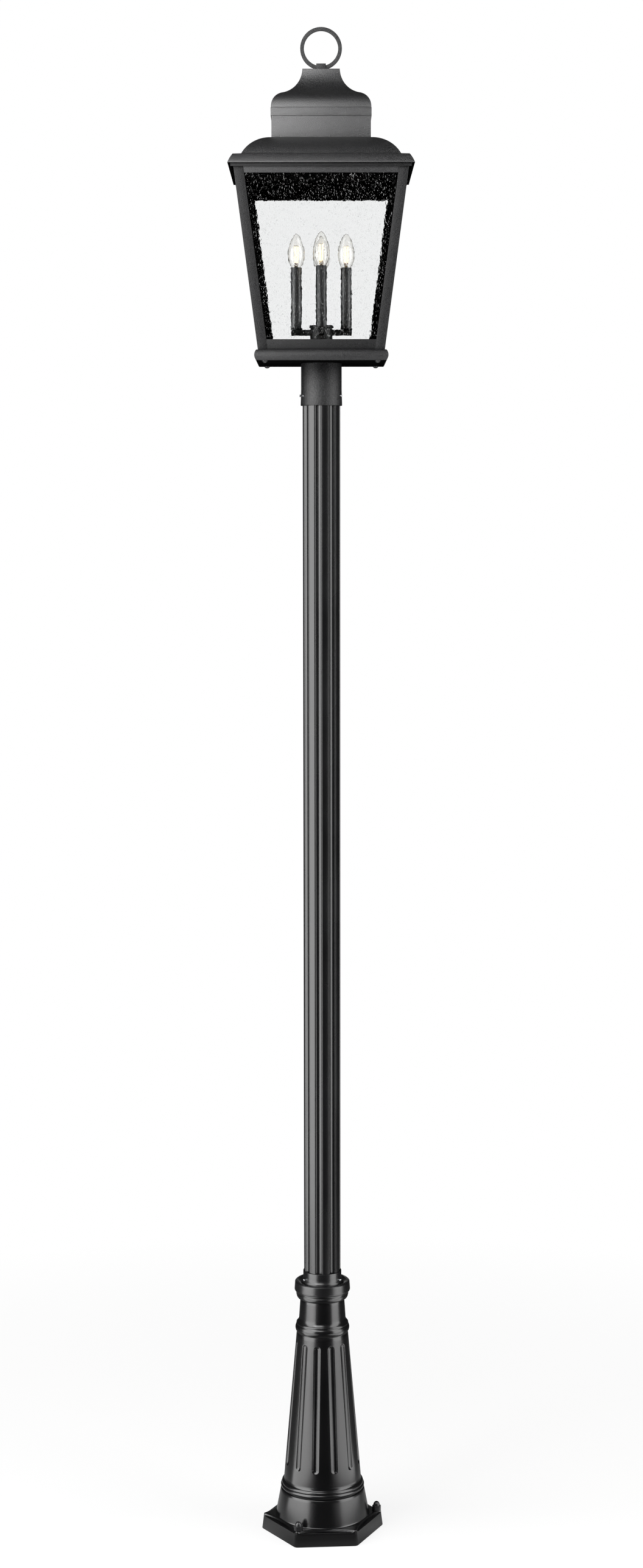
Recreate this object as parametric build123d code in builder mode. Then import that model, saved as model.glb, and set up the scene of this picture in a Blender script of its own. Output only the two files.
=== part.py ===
"""A four-light post light: a square lantern on a fluted post with a cast base.

Millimetres, +Z up, the origin on the ground under the middle of the post. The front of the lantern
faces -Y and +X is on its right.
"""
from build123d import *
from math import atan, cos, pi, radians, sin, tan
import os

os.makedirs("parts", exist_ok=True)

# Ground plate of the base, a hexagon with drafted sides
plate_radius = 130.0
plate_height = 33.0
plate_draft = 6.0
plate_corner_round = 11.0
plate_edge_round = 2.0
plate_skin = 7.0
plate_wall = 9.0
plate_turn = 4.0
ledge_drop = 4.0

# Anchor bolt holes and their cap nuts, on every second corner
bolt_corner_inset = 11.0
bolt_hole_radius = 5.5
bolt_boss_radius = 13.0
bolt_count = 3
cap_nut_flats = 16.0
cap_nut_hex_height = 7.5
cap_nut_dome_radius = 7.0
cap_nut_bore_radius = 4.5
cap_nut_bore_depth = 11.0

# Pedestal, from the ground plate up
foot_margin = 10.6
foot_height = 53.0
foot_slope = 10.5
foot_edge = 1.2
lower_bead_height = 22.0
lower_bead_setback = 1.5
lower_ring_setback = 4.0
lower_ring_share = 0.68
lower_bead_bulge = 3.2
lower_ring_bulge = 1.4
lower_bead_step = 6.5
taper_height = 311.0
upper_bead_height = 33.0
upper_bead_bulge = 4.6
upper_bead_step = 6.2
upper_bead_foot = 3.5
upper_bead_foot_setback = 1.0
upper_bead_lip = 1.4
upper_bead_lip_height = 2.0
upper_neck_height = 42.0
upper_neck_spread = 2.6
upper_neck_wall = 7.5
crown_overhang = 8.8
crown_lip = 1.5
crown_bulge = 2.4
crown_height = 12.0
crown_step_height = 10.5
pedestal_wall = 7.0

# Flutes of the pedestal
flute_count = 12
flute_width = 14.0
flute_depth = 3.2
flute_top_margin = 9.0
flute_bottom_margin = 35.0

# Post tube with its rounded grooves
tube_radius = 38.1
tube_wall = 3.5
tube_top = 2438.0
tube_seat_depth = 87.0
tube_seat_thickness = 10.0
groove_count = 8
groove_width = 14.5
groove_depth = 1.8
groove_turn = -9.0
tube_clearance = 0.3

# Collar between the pedestal and the tube
collar_band_height = 21.5
collar_band_overhang = 3.5
collar_rim_width = 5.0
collar_dish_depth = 3.0
collar_neck_height = 22.0
collar_neck_wall = 1.6
collar_foot_flare = 3.4
collar_edge_setback = 1.4
collar_edge_height = 5.0
collar_edge_bulge = 0.6
collar_shoulder_setback = 1.0
collar_shoulder_drop = 2.0
collar_rim_setback = 3.0
collar_dish_gap = 0.8
collar_foot_rise = 1.0
collar_flare_rise = 9.0
collar_flare_bulge = 0.6
collar_mouth_chamfer = 0.8

# Set screws of the collar and of the fitter
set_screw_radius = 2.5
set_screw_stand_out = 2.6
set_screw_socket = 2.6
set_screw_chamfer = 0.4
set_screw_height_in_collar = 5.5
set_screw_height_in_fitter = 20.0
collar_screw_angles = (-60.0, 60.0, 180.0)
fitter_screw_angles = (-87.0, -60.0, 68.0, 180.0)

# Fitter sleeve that slips over the post
fitter_length = 84.8
fitter_wall = 2.6
fitter_flare = 1.0
fitter_clearance = 0.9
fitter_plate = 4.0
fitter_straight_rise = 32.0
fitter_lip_height = 1.5
fitter_lip_setback = 0.8

# Pan under the lantern, with a rounded rim all round
pan_overhang = 3.0
pan_height = 21.0
pan_bulge = 4.0
pan_sheet = 2.0
pan_lip_width = 28.5
pan_screw_inset = 13.5
pan_screw_radius = 2.5
pan_screw_head_radius = 6.2
pan_screw_head_height = 4.0

# Cage of the lantern, wider at the top
cage_bottom_half = 125.5
cage_top_half = 171.5
cage_height = 354.0
sheet = 1.5
stile_width = 19.5
top_rail_height = 16.6
bottom_rail_height = 20.0
top_flange = 16.0
bottom_flange = 18.0
glass_thickness = 3.0
glass_side_inset = 10.0
glass_top_gap = 1.0
clip_length = 16.0
clip_reach = 7.0
clip_thickness = 1.5
clip_foot = 3.0
clip_gap = 0.5
clip_fit = 0.1
clip_shares = (0.25, 0.75)
bracket_size = 25.0
bracket_thickness = 2.5
bracket_gap = 0.5

# Ceiling tray and roof
tray_overhang = 4.7
tray_rim_drop = 5.0
eave_overhang = 10.5
eave_height = 17.8
eave_depth = 10.0
eave_bulge = 0.8
shoulder_width = 16.2
shoulder_rise = 2.5
dome_height = 38.7
dome_bulge = 8.6
roof_lip = 32.0
roof_top_flange = 10.0
roof_screw_inset = 10.0
roof_screw_radius = 2.0
roof_screw_head_radius = 3.6
roof_screw_head_height = 2.0
roof_screw_end = 3.0

# Chimney box and its ogee cap
chimney_half = 97.9
chimney_visible_height = 41.4
cap_fit = 0.2
cap_rim_wall = 1.2
cap_rim_height = 16.4
cap_socket_depth = 12.0
cap_wall = 3.0
cap_edge_step = 0.6
ogee_height = 83.7
ogee_break_rise = 32.0
ogee_break_half = 75.5
ogee_lower_bulge = 7.0
ogee_upper_bulge = 10.0
cap_top_half = 37.2

# Ring on its saddle
ring_radius = 41.7
ring_bar = 7.5
ring_thickness = 6.5
ring_edge_round = 0.8
ring_gap = 3.3
ring_fit = 0.25
saddle_width = 19.2
saddle_depth = 12.0
saddle_height = 15.2
saddle_round = 0.8

# Rod that ties the roof, the chimney and the cap together
rod_radius = 2.5
rod_end = 3.0
rod_nut_flats = 10.0
rod_nut_height = 4.5
thread_fit = 0.1

# Candle cluster
hub_radius = 22.4
hub_height = 69.0
hub_wall = 1.6
hub_floor = 2.0
hub_cap_overhang = 2.1
hub_cap_height = 4.8
hub_cap_plug = 3.0
hub_cap_round = 1.2
nipple_radius = 5.0
nipple_bore = 3.4
nipple_end = 3.0
nipple_nut_flats = 14.0
nipple_nut_height = 5.0
arm_width = 12.0
arm_height = 11.3
arm_wall = 1.2
arm_drop = 3.6
arm_start = 15.0
arm_fit = 0.1
candle_circle = 50.3
cup_radius = 12.3
cup_height = 3.0
cup_floor = 1.0
sleeve_radius = 10.95
sleeve_wall = 0.8
sleeve_length = 122.5
stem_radius = 4.0
stem_bore = 2.5
stem_end = 3.0
socket_radius = 9.6
socket_height = 38.0
socket_recess = 2.5
socket_bore = 6.25
socket_bore_depth = 22.0

# Bulbs
bulb_screw_radius = 5.95
bulb_screw_length = 19.0
bulb_screw_round = 1.0
bulb_tip_radius = 2.6
bulb_tip_length = 3.0
bulb_tip_step = 1.2
bulb_neck_radius = 6.6
bulb_radius = 16.8
bulb_length = 70.0
bulb_waist = 27.0
bulb_swell = 0.57
bulb_wall = 0.8
bulb_tip_wall = 1.1
bulb_thread_pitch = 3.0
bulb_thread_start = 2.5
bulb_thread_radius = 0.8
bulb_thread_offset = 0.3
bulb_stem_radius = 2.2
bulb_stem_length = 11.5
filament_count = 4
filament_length = 33.0
filament_radius = 0.9
filament_circle = 5.2
filament_wire = 0.8
filament_turn = 30.0

# Levels worked out from the sizes above
foot_top = plate_height + foot_height
taper_bottom = foot_top + lower_bead_height
taper_top = taper_bottom + taper_height
upper_bead_top = taper_top + upper_bead_height
upper_neck_top = upper_bead_top + upper_neck_height
crown_top = upper_neck_top + crown_height
pedestal_top = crown_top + crown_step_height
tube_bottom = pedestal_top - tube_seat_depth
collar_rim_top = pedestal_top + collar_band_height
collar_top = collar_rim_top + collar_neck_height
fitter_top = tube_top + fitter_plate
fitter_bottom = fitter_top - fitter_length
pan_bottom = fitter_top
pan_floor = pan_bottom + pan_sheet
pan_top = pan_bottom + pan_height
cage_bottom = pan_top
cage_top = cage_bottom + cage_height
tray_top = cage_top + sheet
eave_bottom = tray_top
eave_top = eave_bottom + eave_height
dome_bottom = eave_top + shoulder_rise
dome_top = dome_bottom + dome_height
cap_bottom = dome_top + chimney_visible_height
cap_rim_top = cap_bottom + cap_rim_height
cap_top = cap_rim_top + ogee_height
ring_centre = cap_top + ring_gap + ring_radius
saddle_top = cap_top + saddle_height
hub_top = pan_floor + hub_height
arm_top = hub_top - arm_drop
sleeve_bottom = arm_top + cup_floor
sleeve_top = sleeve_bottom + sleeve_length
socket_top = sleeve_top - socket_recess
socket_bottom = socket_top - socket_height
bulb_seat = socket_top - socket_bore_depth
bulb_screw_bottom = bulb_seat + bulb_tip_length
bulb_bottom = bulb_screw_bottom + bulb_screw_length

# Radii and widths worked out from the sizes above
plate_flat_at_top = plate_radius * cos(pi / 6) - plate_height * tan(radians(plate_draft))
plate_corner_at_top = plate_flat_at_top / cos(pi / 6)
foot_radius = plate_flat_at_top - foot_margin
foot_top_radius = foot_radius - foot_slope
bead_bottom_radius = foot_top_radius - lower_bead_setback
taper_bottom_radius = foot_top_radius - lower_bead_step
bore_radius = tube_radius + tube_clearance
upper_neck_top_radius = bore_radius + upper_neck_wall
upper_neck_bottom_radius = upper_neck_top_radius + upper_neck_spread
taper_top_radius = upper_neck_bottom_radius + upper_bead_step
crown_radius = upper_neck_top_radius + crown_overhang
collar_radius = crown_radius + collar_band_overhang
collar_neck_radius = bore_radius + collar_neck_wall
collar_foot_radius = collar_neck_radius + collar_foot_flare
bolt_circle = plate_corner_at_top - bolt_corner_inset
fitter_bore = tube_radius + fitter_clearance
fitter_radius = fitter_bore + fitter_wall
cage_lean = (cage_top_half - cage_bottom_half) / cage_height
pan_half = cage_bottom_half + pan_overhang
screw_place = cage_bottom_half - pan_screw_inset
roof_screw_place = cage_top_half - roof_screw_inset
pan_opening = pan_half - pan_lip_width
tray_half = cage_top_half + tray_overhang
eave_half = cage_top_half + eave_overhang
dome_bottom_half = eave_half - eave_depth - shoulder_width
reach = 2 * eave_half
sides = ("front", "right", "back", "left")
corners = ("front_left", "front_right", "back_right", "back_left")


def save(piece, name):
    """Labels a finished piece and writes it."""
    piece.part.label = name
    export_step(piece.part, f"parts/{name}.step")


def quarter_turned(shape, quarter):
    """The shape turned about the post by a number of quarter turns, towards +X first."""
    with BuildPart() as turned:
        add(shape, rotation=(0, 0, 90 * quarter))
    return turned


def on_four_sides(shape):
    """Four copies of the shape, a quarter turn apart, as separate solids of one node."""
    with BuildPart() as ring_of_copies:
        with PolarLocations(0, 4):
            add(shape)
    return ring_of_copies


def square_solid(face):
    """The solid whose section is square at every height, from its outline seen from the front."""
    with BuildPart() as solid:
        with BuildSketch(Plane.XZ):
            add(face)
        extrude(amount=reach, both=True)
        with BuildSketch(Plane.YZ):
            add(face)
        extrude(amount=reach, both=True, mode=Mode.INTERSECT)
    return solid.part


def square_block(half, bottom, top):
    """A square block about the post, between two levels."""
    with BuildPart() as block:
        with BuildSketch(Plane.XY.offset(bottom)):
            Rectangle(2 * half, 2 * half)
        extrude(amount=top - bottom)
    return block.part


def cage_half(level):
    """Half the width of the cage at a level, over its outer faces."""
    return cage_bottom_half + cage_lean * (level - cage_bottom)


def leaning_panel(outline, side_inset, bottom, top):
    """A panel along the front of the cage, from its section, cut to the lean of the corners."""
    with BuildPart() as panel:
        with BuildSketch(Plane.YZ):
            with BuildLine():
                Polyline(*outline, close=True)
            make_face()
        extrude(amount=reach, both=True)
        with BuildSketch(Plane.XZ):
            with BuildLine():
                Polyline(
                    (-cage_half(bottom) + side_inset, bottom),
                    (cage_half(bottom) - side_inset, bottom),
                    (cage_half(top) - side_inset, top),
                    (-cage_half(top) + side_inset, top),
                    close=True,
                )
            make_face()
        extrude(amount=reach, both=True, mode=Mode.INTERSECT)
    return panel.part


def leaning_bar(outline, bottom, length):
    """A bar of constant level section that follows the front left corner of the cage."""
    rise = Vector(-cage_lean * length, -cage_lean * length, length)
    with BuildPart() as bar:
        with BuildSketch(Plane.XY.offset(bottom)):
            with BuildLine():
                Polyline(*outline, close=True)
            make_face()
        extrude(amount=rise.length, dir=rise.normalized())
    return bar.part


def hex_nut(flats, bore_radius_of_nut, bottom, height):
    """A plain hexagon nut about the local vertical axis."""
    with BuildPart() as nut:
        with BuildSketch(Plane.XY.offset(bottom)):
            RegularPolygon(radius=flats / 2, side_count=6, major_radius=False)
            Circle(bore_radius_of_nut, mode=Mode.SUBTRACT)
        extrude(amount=height)
    return nut.part


def round_head(radius, height, base):
    """A domed head about the local vertical axis, from its flat side up, or down for a negative height."""
    with BuildPart() as head:
        with BuildSketch(Plane.XZ):
            with BuildLine():
                Polyline((0, base + height), (0, base), (radius, base))
                TangentArc((0, base + height), (radius, base), tangent=(1, 0))
            make_face()
        revolve(axis=Axis.Z)
    return head.part


def radial_set_screw(level, inner, outer, angle):
    """A socket set screw that points at the post, at an angle from the front towards +X."""
    away = Vector(sin(radians(angle)), -cos(radians(angle)), 0)
    start = away * inner + Vector(0, 0, level)
    with BuildPart() as screw:
        with BuildSketch(Plane(origin=start, z_dir=away)):
            Circle(set_screw_radius)
        extrude(amount=outer - inner)
        chamfer(screw.edges().filter_by(GeomType.CIRCLE).sort_by(Axis(start, away))[-1], set_screw_chamfer)
        with BuildSketch(Plane(origin=start + away * (outer - inner), z_dir=away)):
            RegularPolygon(radius=set_screw_socket / 2, side_count=6, major_radius=False)
        extrude(amount=-set_screw_socket, mode=Mode.SUBTRACT)
    return screw.part


def radial_hole(level, radius, depth, angle):
    """A round cutter from the post axis outwards, at an angle from the front towards +X."""
    away = Vector(sin(radians(angle)), -cos(radians(angle)), 0)
    with BuildPart() as cutter:
        with BuildSketch(Plane(origin=Vector(0, 0, level), z_dir=away)):
            Circle(radius)
        extrude(amount=depth)
    return cutter.part


# Base casting: a hexagon plate with a hollow, fluted pedestal
def pedestal_profile():
    """The outer line of the pedestal, from its foot up to its top edge."""
    foot_edge_start = (foot_top_radius, foot_top - foot_edge)
    foot_edge_end = (foot_top_radius - foot_edge / 2, foot_top)
    bead_start = (bead_bottom_radius, foot_top)
    bead_break = (foot_top_radius - lower_ring_setback, foot_top + lower_ring_share * lower_bead_height)
    taper_start = (taper_bottom_radius, taper_bottom)
    upper_bead_start = (taper_top_radius - upper_bead_foot_setback, taper_top + upper_bead_foot)
    upper_bead_end = (upper_neck_bottom_radius + upper_bead_lip, upper_bead_top - upper_bead_lip_height)
    crown_start = (upper_neck_top_radius + crown_lip, upper_neck_top)
    crown_end = (crown_radius, crown_top)
    with BuildLine() as profile:
        Polyline((foot_radius, plate_height), foot_edge_start, foot_edge_end, bead_start)
        SagittaArc(bead_start, bead_break, -lower_bead_bulge)
        SagittaArc(bead_break, taper_start, -lower_ring_bulge)
        Polyline(taper_start, (taper_top_radius, taper_top), upper_bead_start)
        SagittaArc(upper_bead_start, upper_bead_end, -upper_bead_bulge)
        Polyline(
            upper_bead_end,
            (upper_neck_bottom_radius, upper_bead_top),
            (upper_neck_top_radius, upper_neck_top),
            crown_start,
        )
        SagittaArc(crown_start, crown_end, -crown_bulge)
        Line(crown_end, (crown_radius, pedestal_top))
    return profile.line


def flute_cutter():
    """A ball-ended groove cutter laid along the front of the taper."""
    lean = atan((taper_bottom_radius - taper_top_radius) / taper_height)
    cutter_radius = (flute_width**2 / 4 + flute_depth**2) / (2 * flute_depth)
    stand_off = cutter_radius - flute_depth
    end_margin = flute_width / 2

    def axis_point(level):
        share = (level - taper_bottom) / taper_height
        surface = taper_bottom_radius + share * (taper_top_radius - taper_bottom_radius)
        return Vector(0, -surface - stand_off * cos(lean), level + stand_off * sin(lean))

    low = axis_point(taper_bottom + flute_bottom_margin + end_margin)
    high = axis_point(taper_top - flute_top_margin - end_margin)
    with BuildPart() as cutter:
        with BuildSketch(Plane(origin=low, z_dir=high - low)):
            Circle(cutter_radius)
        extrude(amount=(high - low).length)
        with Locations(low, high):
            Sphere(cutter_radius)
    return cutter.part


flat_angle = plate_turn + 180 / 6
ledge_sagitta = plate_flat_at_top - foot_radius
ledge_radius = plate_corner_at_top**2 / (8 * ledge_sagitta) + ledge_sagitta / 2

with BuildPart() as base_casting:
    with BuildSketch() as plate_outline:
        RegularPolygon(radius=plate_radius, side_count=6, rotation=plate_turn)
        fillet(plate_outline.vertices(), plate_corner_round)
    extrude(amount=plate_height, taper=plate_draft)
    fillet(base_casting.faces().sort_by(Axis.Z)[-1].edges(), plate_edge_round)
    with BuildSketch(Plane.XY.offset(plate_height)):
        with PolarLocations(plate_flat_at_top + ledge_radius - ledge_sagitta, 6, start_angle=flat_angle):
            Circle(ledge_radius)
    extrude(amount=-ledge_drop, mode=Mode.SUBTRACT)
    with BuildSketch(Plane.XZ):
        with BuildLine():
            add(pedestal_profile())
            Polyline((crown_radius, pedestal_top), (0, pedestal_top), (0, plate_skin))
            Polyline((0, plate_skin), (foot_radius, plate_skin), (foot_radius, plate_height))
        make_face()
    revolve(axis=Axis.Z)
    with PolarLocations(0, flute_count, start_angle=plate_turn + 180 / flute_count):
        add(flute_cutter(), mode=Mode.SUBTRACT)
    with BuildSketch() as pocket:
        RegularPolygon(radius=plate_radius - plate_wall / cos(pi / 6), side_count=6, rotation=plate_turn)
        fillet(pocket.vertices(), plate_corner_round - plate_wall / 2)
        with PolarLocations(bolt_circle, bolt_count, start_angle=plate_turn):
            Circle(bolt_boss_radius, mode=Mode.SUBTRACT)
    extrude(amount=plate_height - plate_skin, mode=Mode.SUBTRACT)
    with BuildSketch(Plane.XZ):
        with BuildLine():
            Polyline(
                (0, 0),
                (foot_radius - pedestal_wall, 0),
                (foot_radius - pedestal_wall, plate_height),
                (foot_top_radius - pedestal_wall, foot_top),
                (taper_bottom_radius - pedestal_wall, taper_bottom),
                (taper_top_radius - pedestal_wall, taper_top),
                (tube_radius - tube_wall, tube_bottom - tube_seat_thickness),
                (tube_radius - tube_wall, tube_bottom),
                (bore_radius, tube_bottom),
                (bore_radius, pedestal_top),
                (0, pedestal_top),
                close=True,
            )
        make_face()
    revolve(axis=Axis.Z, mode=Mode.SUBTRACT)
    with PolarLocations(bolt_circle, bolt_count, start_angle=plate_turn):
        Hole(bolt_hole_radius)
save(base_casting, "base_casting")

# Cap nuts on the anchor bolts that come up out of the footing
with BuildPart() as cap_nut:
    with BuildSketch(Plane.XY.offset(plate_height)):
        RegularPolygon(radius=cap_nut_flats / 2, side_count=6, major_radius=False)
    extrude(amount=cap_nut_hex_height)
    add(round_head(cap_nut_dome_radius, cap_nut_dome_radius, plate_height + cap_nut_hex_height))
    with BuildSketch(Plane.XY.offset(plate_height)):
        Circle(cap_nut_bore_radius)
    extrude(amount=cap_nut_bore_depth, mode=Mode.SUBTRACT)

with BuildPart() as anchor_cap_nuts:
    with PolarLocations(bolt_circle, bolt_count, start_angle=plate_turn):
        add(cap_nut.part)
save(anchor_cap_nuts, "anchor_cap_nuts")

# Collar: a flanged neck that closes the gap round the tube
band_foot = (collar_radius - collar_edge_setback, pedestal_top)
band_edge = (collar_radius, pedestal_top + collar_edge_height)
neck_foot = (collar_foot_radius, collar_rim_top + collar_foot_rise)
neck_start = (collar_neck_radius, collar_rim_top + collar_flare_rise)
collar_screw_level = collar_rim_top + set_screw_height_in_collar

with BuildPart() as post_collar:
    with BuildSketch(Plane.XZ):
        with BuildLine():
            Line((bore_radius, pedestal_top), band_foot)
            SagittaArc(band_foot, band_edge, -collar_edge_bulge)
            Polyline(
                band_edge,
                (collar_radius - collar_shoulder_setback, collar_rim_top - collar_shoulder_drop),
                (collar_radius - collar_rim_setback, collar_rim_top),
                (collar_radius - collar_rim_setback - collar_rim_width, collar_rim_top),
                (collar_foot_radius + collar_dish_gap, collar_rim_top - collar_dish_depth),
                neck_foot,
            )
            SagittaArc(neck_foot, neck_start, collar_flare_bulge)
            Polyline(
                neck_start,
                (collar_neck_radius, collar_top - collar_mouth_chamfer),
                (collar_neck_radius - collar_mouth_chamfer, collar_top),
                (bore_radius, collar_top),
                (bore_radius, pedestal_top),
            )
        make_face()
    revolve(axis=Axis.Z)
    for angle in collar_screw_angles:
        add(
            radial_hole(collar_screw_level, set_screw_radius + thread_fit, collar_radius, angle),
            mode=Mode.SUBTRACT,
        )
save(post_collar, "post_collar")

with BuildPart() as collar_set_screws:
    for angle in collar_screw_angles:
        add(radial_set_screw(collar_screw_level, bore_radius, collar_foot_radius + set_screw_stand_out, angle))
save(collar_set_screws, "collar_set_screws")

# Post tube with rounded grooves down its whole length
groove_radius = (groove_width**2 / 4 + groove_depth**2) / (2 * groove_depth)

with BuildPart() as post_tube:
    with BuildSketch(Plane.XY.offset(tube_bottom)):
        Circle(tube_radius)
        with PolarLocations(tube_radius - groove_depth + groove_radius, groove_count, start_angle=groove_turn - 90):
            Circle(groove_radius, mode=Mode.SUBTRACT)
        Circle(tube_radius - tube_wall, mode=Mode.SUBTRACT)
    extrude(amount=tube_top - tube_bottom)
save(post_tube, "post_tube")

# Fitter sleeve under the lantern, closed by a plate that rests on the tube
fitter_screw_level = fitter_bottom + set_screw_height_in_fitter
fitter_mouth_radius = fitter_radius + fitter_flare / 2

with BuildPart() as fitter_sleeve:
    with BuildSketch(Plane.XZ):
        with BuildLine():
            Polyline(
                (nipple_radius + thread_fit, fitter_top),
                (fitter_radius - fitter_flare / 2, fitter_top),
                (fitter_radius - fitter_flare / 2, fitter_bottom + fitter_straight_rise),
                (fitter_mouth_radius, fitter_bottom + fitter_lip_height),
                (fitter_mouth_radius - fitter_lip_setback, fitter_bottom),
                (fitter_bore, fitter_bottom),
                (fitter_bore, tube_top),
                (nipple_radius + thread_fit, tube_top),
                close=True,
            )
        make_face()
    revolve(axis=Axis.Z)
    for angle in fitter_screw_angles:
        add(
            radial_hole(fitter_screw_level, set_screw_radius + thread_fit, 2 * fitter_radius, angle),
            mode=Mode.SUBTRACT,
        )
save(fitter_sleeve, "fitter_sleeve")

with BuildPart() as fitter_set_screws:
    for angle in fitter_screw_angles:
        add(
            radial_set_screw(
                fitter_screw_level, tube_radius + thread_fit, fitter_radius + set_screw_stand_out, angle
            )
        )
save(fitter_set_screws, "fitter_set_screws")

# Pan: a square tray with a rounded rim, on top of the fitter
with BuildSketch() as pan_outline:
    with BuildLine():
        Line((-pan_half, pan_bottom), (pan_half, pan_bottom))
        SagittaArc((pan_half, pan_bottom), (pan_half, pan_top), -pan_bulge)
        Line((pan_half, pan_top), (-pan_half, pan_top))
        SagittaArc((-pan_half, pan_top), (-pan_half, pan_bottom), -pan_bulge)
    make_face()

with BuildSketch() as pan_hollow:
    add(pan_outline.sketch)
    offset(amount=-pan_sheet, kind=Kind.INTERSECTION, mode=Mode.REPLACE)

with BuildPart() as lantern_pan:
    add(square_solid(pan_outline.sketch))
    add(square_solid(pan_hollow.sketch), mode=Mode.SUBTRACT)
    add(square_block(pan_opening, pan_floor, pan_top), mode=Mode.SUBTRACT)
    with BuildSketch(Plane.XY.offset(pan_bottom)):
        Circle(nipple_radius + thread_fit)
        with GridLocations(2 * screw_place, 2 * screw_place, 2, 2):
            Circle(pan_screw_radius + thread_fit)
    extrude(amount=pan_height, mode=Mode.SUBTRACT)
save(lantern_pan, "lantern_pan")

with BuildPart() as pan_screws:
    with BuildSketch(Plane.XY.offset(pan_bottom)):
        with GridLocations(2 * screw_place, 2 * screw_place, 2, 2):
            Circle(pan_screw_radius)
    extrude(amount=pan_height + sheet + bracket_thickness)
    with GridLocations(2 * screw_place, 2 * screw_place, 2, 2):
        add(round_head(pan_screw_head_radius, -pan_screw_head_height, pan_bottom))
save(pan_screws, "pan_screws")

# Nipple that clamps the hub, the pan and the fitter, with a nut at each end
nipple_bottom = tube_top - nipple_nut_height - nipple_end
nipple_top = hub_top + hub_cap_height + nipple_nut_height + nipple_end

with BuildPart() as cluster_nipple:
    with BuildSketch(Plane.XY.offset(nipple_bottom)):
        Circle(nipple_radius)
        Circle(nipple_bore, mode=Mode.SUBTRACT)
    extrude(amount=nipple_top - nipple_bottom)
save(cluster_nipple, "cluster_nipple")

with BuildPart() as nipple_nuts:
    for level in (tube_top - nipple_nut_height, hub_top + hub_cap_height):
        add(hex_nut(nipple_nut_flats, nipple_radius + thread_fit, level, nipple_nut_height))
save(nipple_nuts, "nipple_nuts")

# Hub of the candle cluster: a turned cup with a square hole for each arm, and its cap
arm_bottom = arm_top - arm_height

with BuildPart() as hub_body:
    with BuildSketch(Plane.XY.offset(pan_floor)):
        Circle(hub_radius)
        Circle(nipple_radius + thread_fit, mode=Mode.SUBTRACT)
    extrude(amount=hub_height)
    with BuildSketch(Plane.XY.offset(pan_floor + hub_floor)):
        Circle(hub_radius - hub_wall)
    extrude(amount=hub_height - hub_floor, mode=Mode.SUBTRACT)
    with BuildSketch(Plane.XY.offset(arm_bottom - arm_fit)):
        Rectangle(3 * hub_radius, arm_width + 2 * arm_fit)
        Rectangle(arm_width + 2 * arm_fit, 3 * hub_radius)
    extrude(amount=arm_height + 2 * arm_fit, mode=Mode.SUBTRACT)
save(hub_body, "hub_body")

with BuildPart() as hub_cap:
    with BuildSketch(Plane.XY.offset(hub_top)):
        Circle(hub_radius + hub_cap_overhang)
    extrude(amount=hub_cap_height)
    fillet(hub_cap.edges().filter_by(GeomType.CIRCLE).sort_by(Axis.Z)[-1], hub_cap_round)
    with BuildSketch(Plane.XY.offset(hub_top)):
        Circle(hub_radius - hub_wall - arm_fit)
    extrude(amount=-min(hub_cap_plug, arm_drop - arm_fit))
    with BuildSketch(Plane.XY.offset(hub_top + hub_cap_height)):
        Circle(nipple_radius + thread_fit)
    extrude(amount=-hub_cap_height - hub_cap_plug, mode=Mode.SUBTRACT)
save(hub_cap, "hub_cap")

# Arms, candle sleeves and sockets, one of each on every side
arm_end = candle_circle + sleeve_radius

with BuildPart() as arm_shape:
    with BuildSketch(Plane.XY.offset(arm_bottom)):
        with Locations((0, -(arm_start + arm_end) / 2)):
            Rectangle(arm_width, arm_end - arm_start)
    extrude(amount=arm_height)
    with BuildSketch(Plane.XY.offset(arm_bottom + arm_wall)):
        with Locations((0, -(arm_start + arm_end - arm_wall) / 2)):
            Rectangle(arm_width - 2 * arm_wall, arm_end - arm_start - arm_wall)
    extrude(amount=arm_height - 2 * arm_wall, mode=Mode.SUBTRACT)
    with BuildSketch(Plane.XY.offset(arm_top)):
        with Locations((0, -candle_circle)):
            Circle(stem_radius + thread_fit)
    extrude(amount=-arm_wall, mode=Mode.SUBTRACT)

with BuildPart() as cup_shape:
    with BuildSketch(Plane.XY.offset(arm_top)):
        with Locations((0, -candle_circle)):
            Circle(cup_radius)
            Circle(stem_radius + thread_fit, mode=Mode.SUBTRACT)
    extrude(amount=cup_height)
    with BuildSketch(Plane.XY.offset(arm_top + cup_floor)):
        with Locations((0, -candle_circle)):
            Circle(sleeve_radius + arm_fit)
    extrude(amount=cup_height - cup_floor, mode=Mode.SUBTRACT)

with BuildPart() as sleeve_shape:
    with BuildSketch(Plane.XY.offset(sleeve_bottom)):
        with Locations((0, -candle_circle)):
            Circle(sleeve_radius)
            Circle(sleeve_radius - sleeve_wall, mode=Mode.SUBTRACT)
    extrude(amount=sleeve_length)

with BuildPart() as socket_shape:
    with BuildSketch(Plane.XY.offset(arm_top - stem_end)):
        with Locations((0, -candle_circle)):
            Circle(stem_radius)
    extrude(amount=socket_bottom - arm_top + stem_end)
    with BuildSketch(Plane.XY.offset(socket_bottom)):
        with Locations((0, -candle_circle)):
            Circle(socket_radius)
    extrude(amount=socket_height)
    with BuildSketch(Plane.XY.offset(bulb_seat)):
        with Locations((0, -candle_circle)):
            Circle(socket_bore)
    extrude(amount=socket_bore_depth, mode=Mode.SUBTRACT)
    with BuildSketch(Plane.XY.offset(arm_top - stem_end)):
        with Locations((0, -candle_circle)):
            Circle(stem_bore)
    extrude(amount=socket_bottom - arm_top + stem_end, mode=Mode.SUBTRACT)

for quarter, side in enumerate(sides):
    save(quarter_turned(arm_shape.part, quarter), f"arm_{side}")
    save(quarter_turned(sleeve_shape.part, quarter), f"candle_sleeve_{side}")
    save(quarter_turned(socket_shape.part, quarter), f"socket_{side}")
save(on_four_sides(cup_shape.part), "candle_cups")


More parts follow.
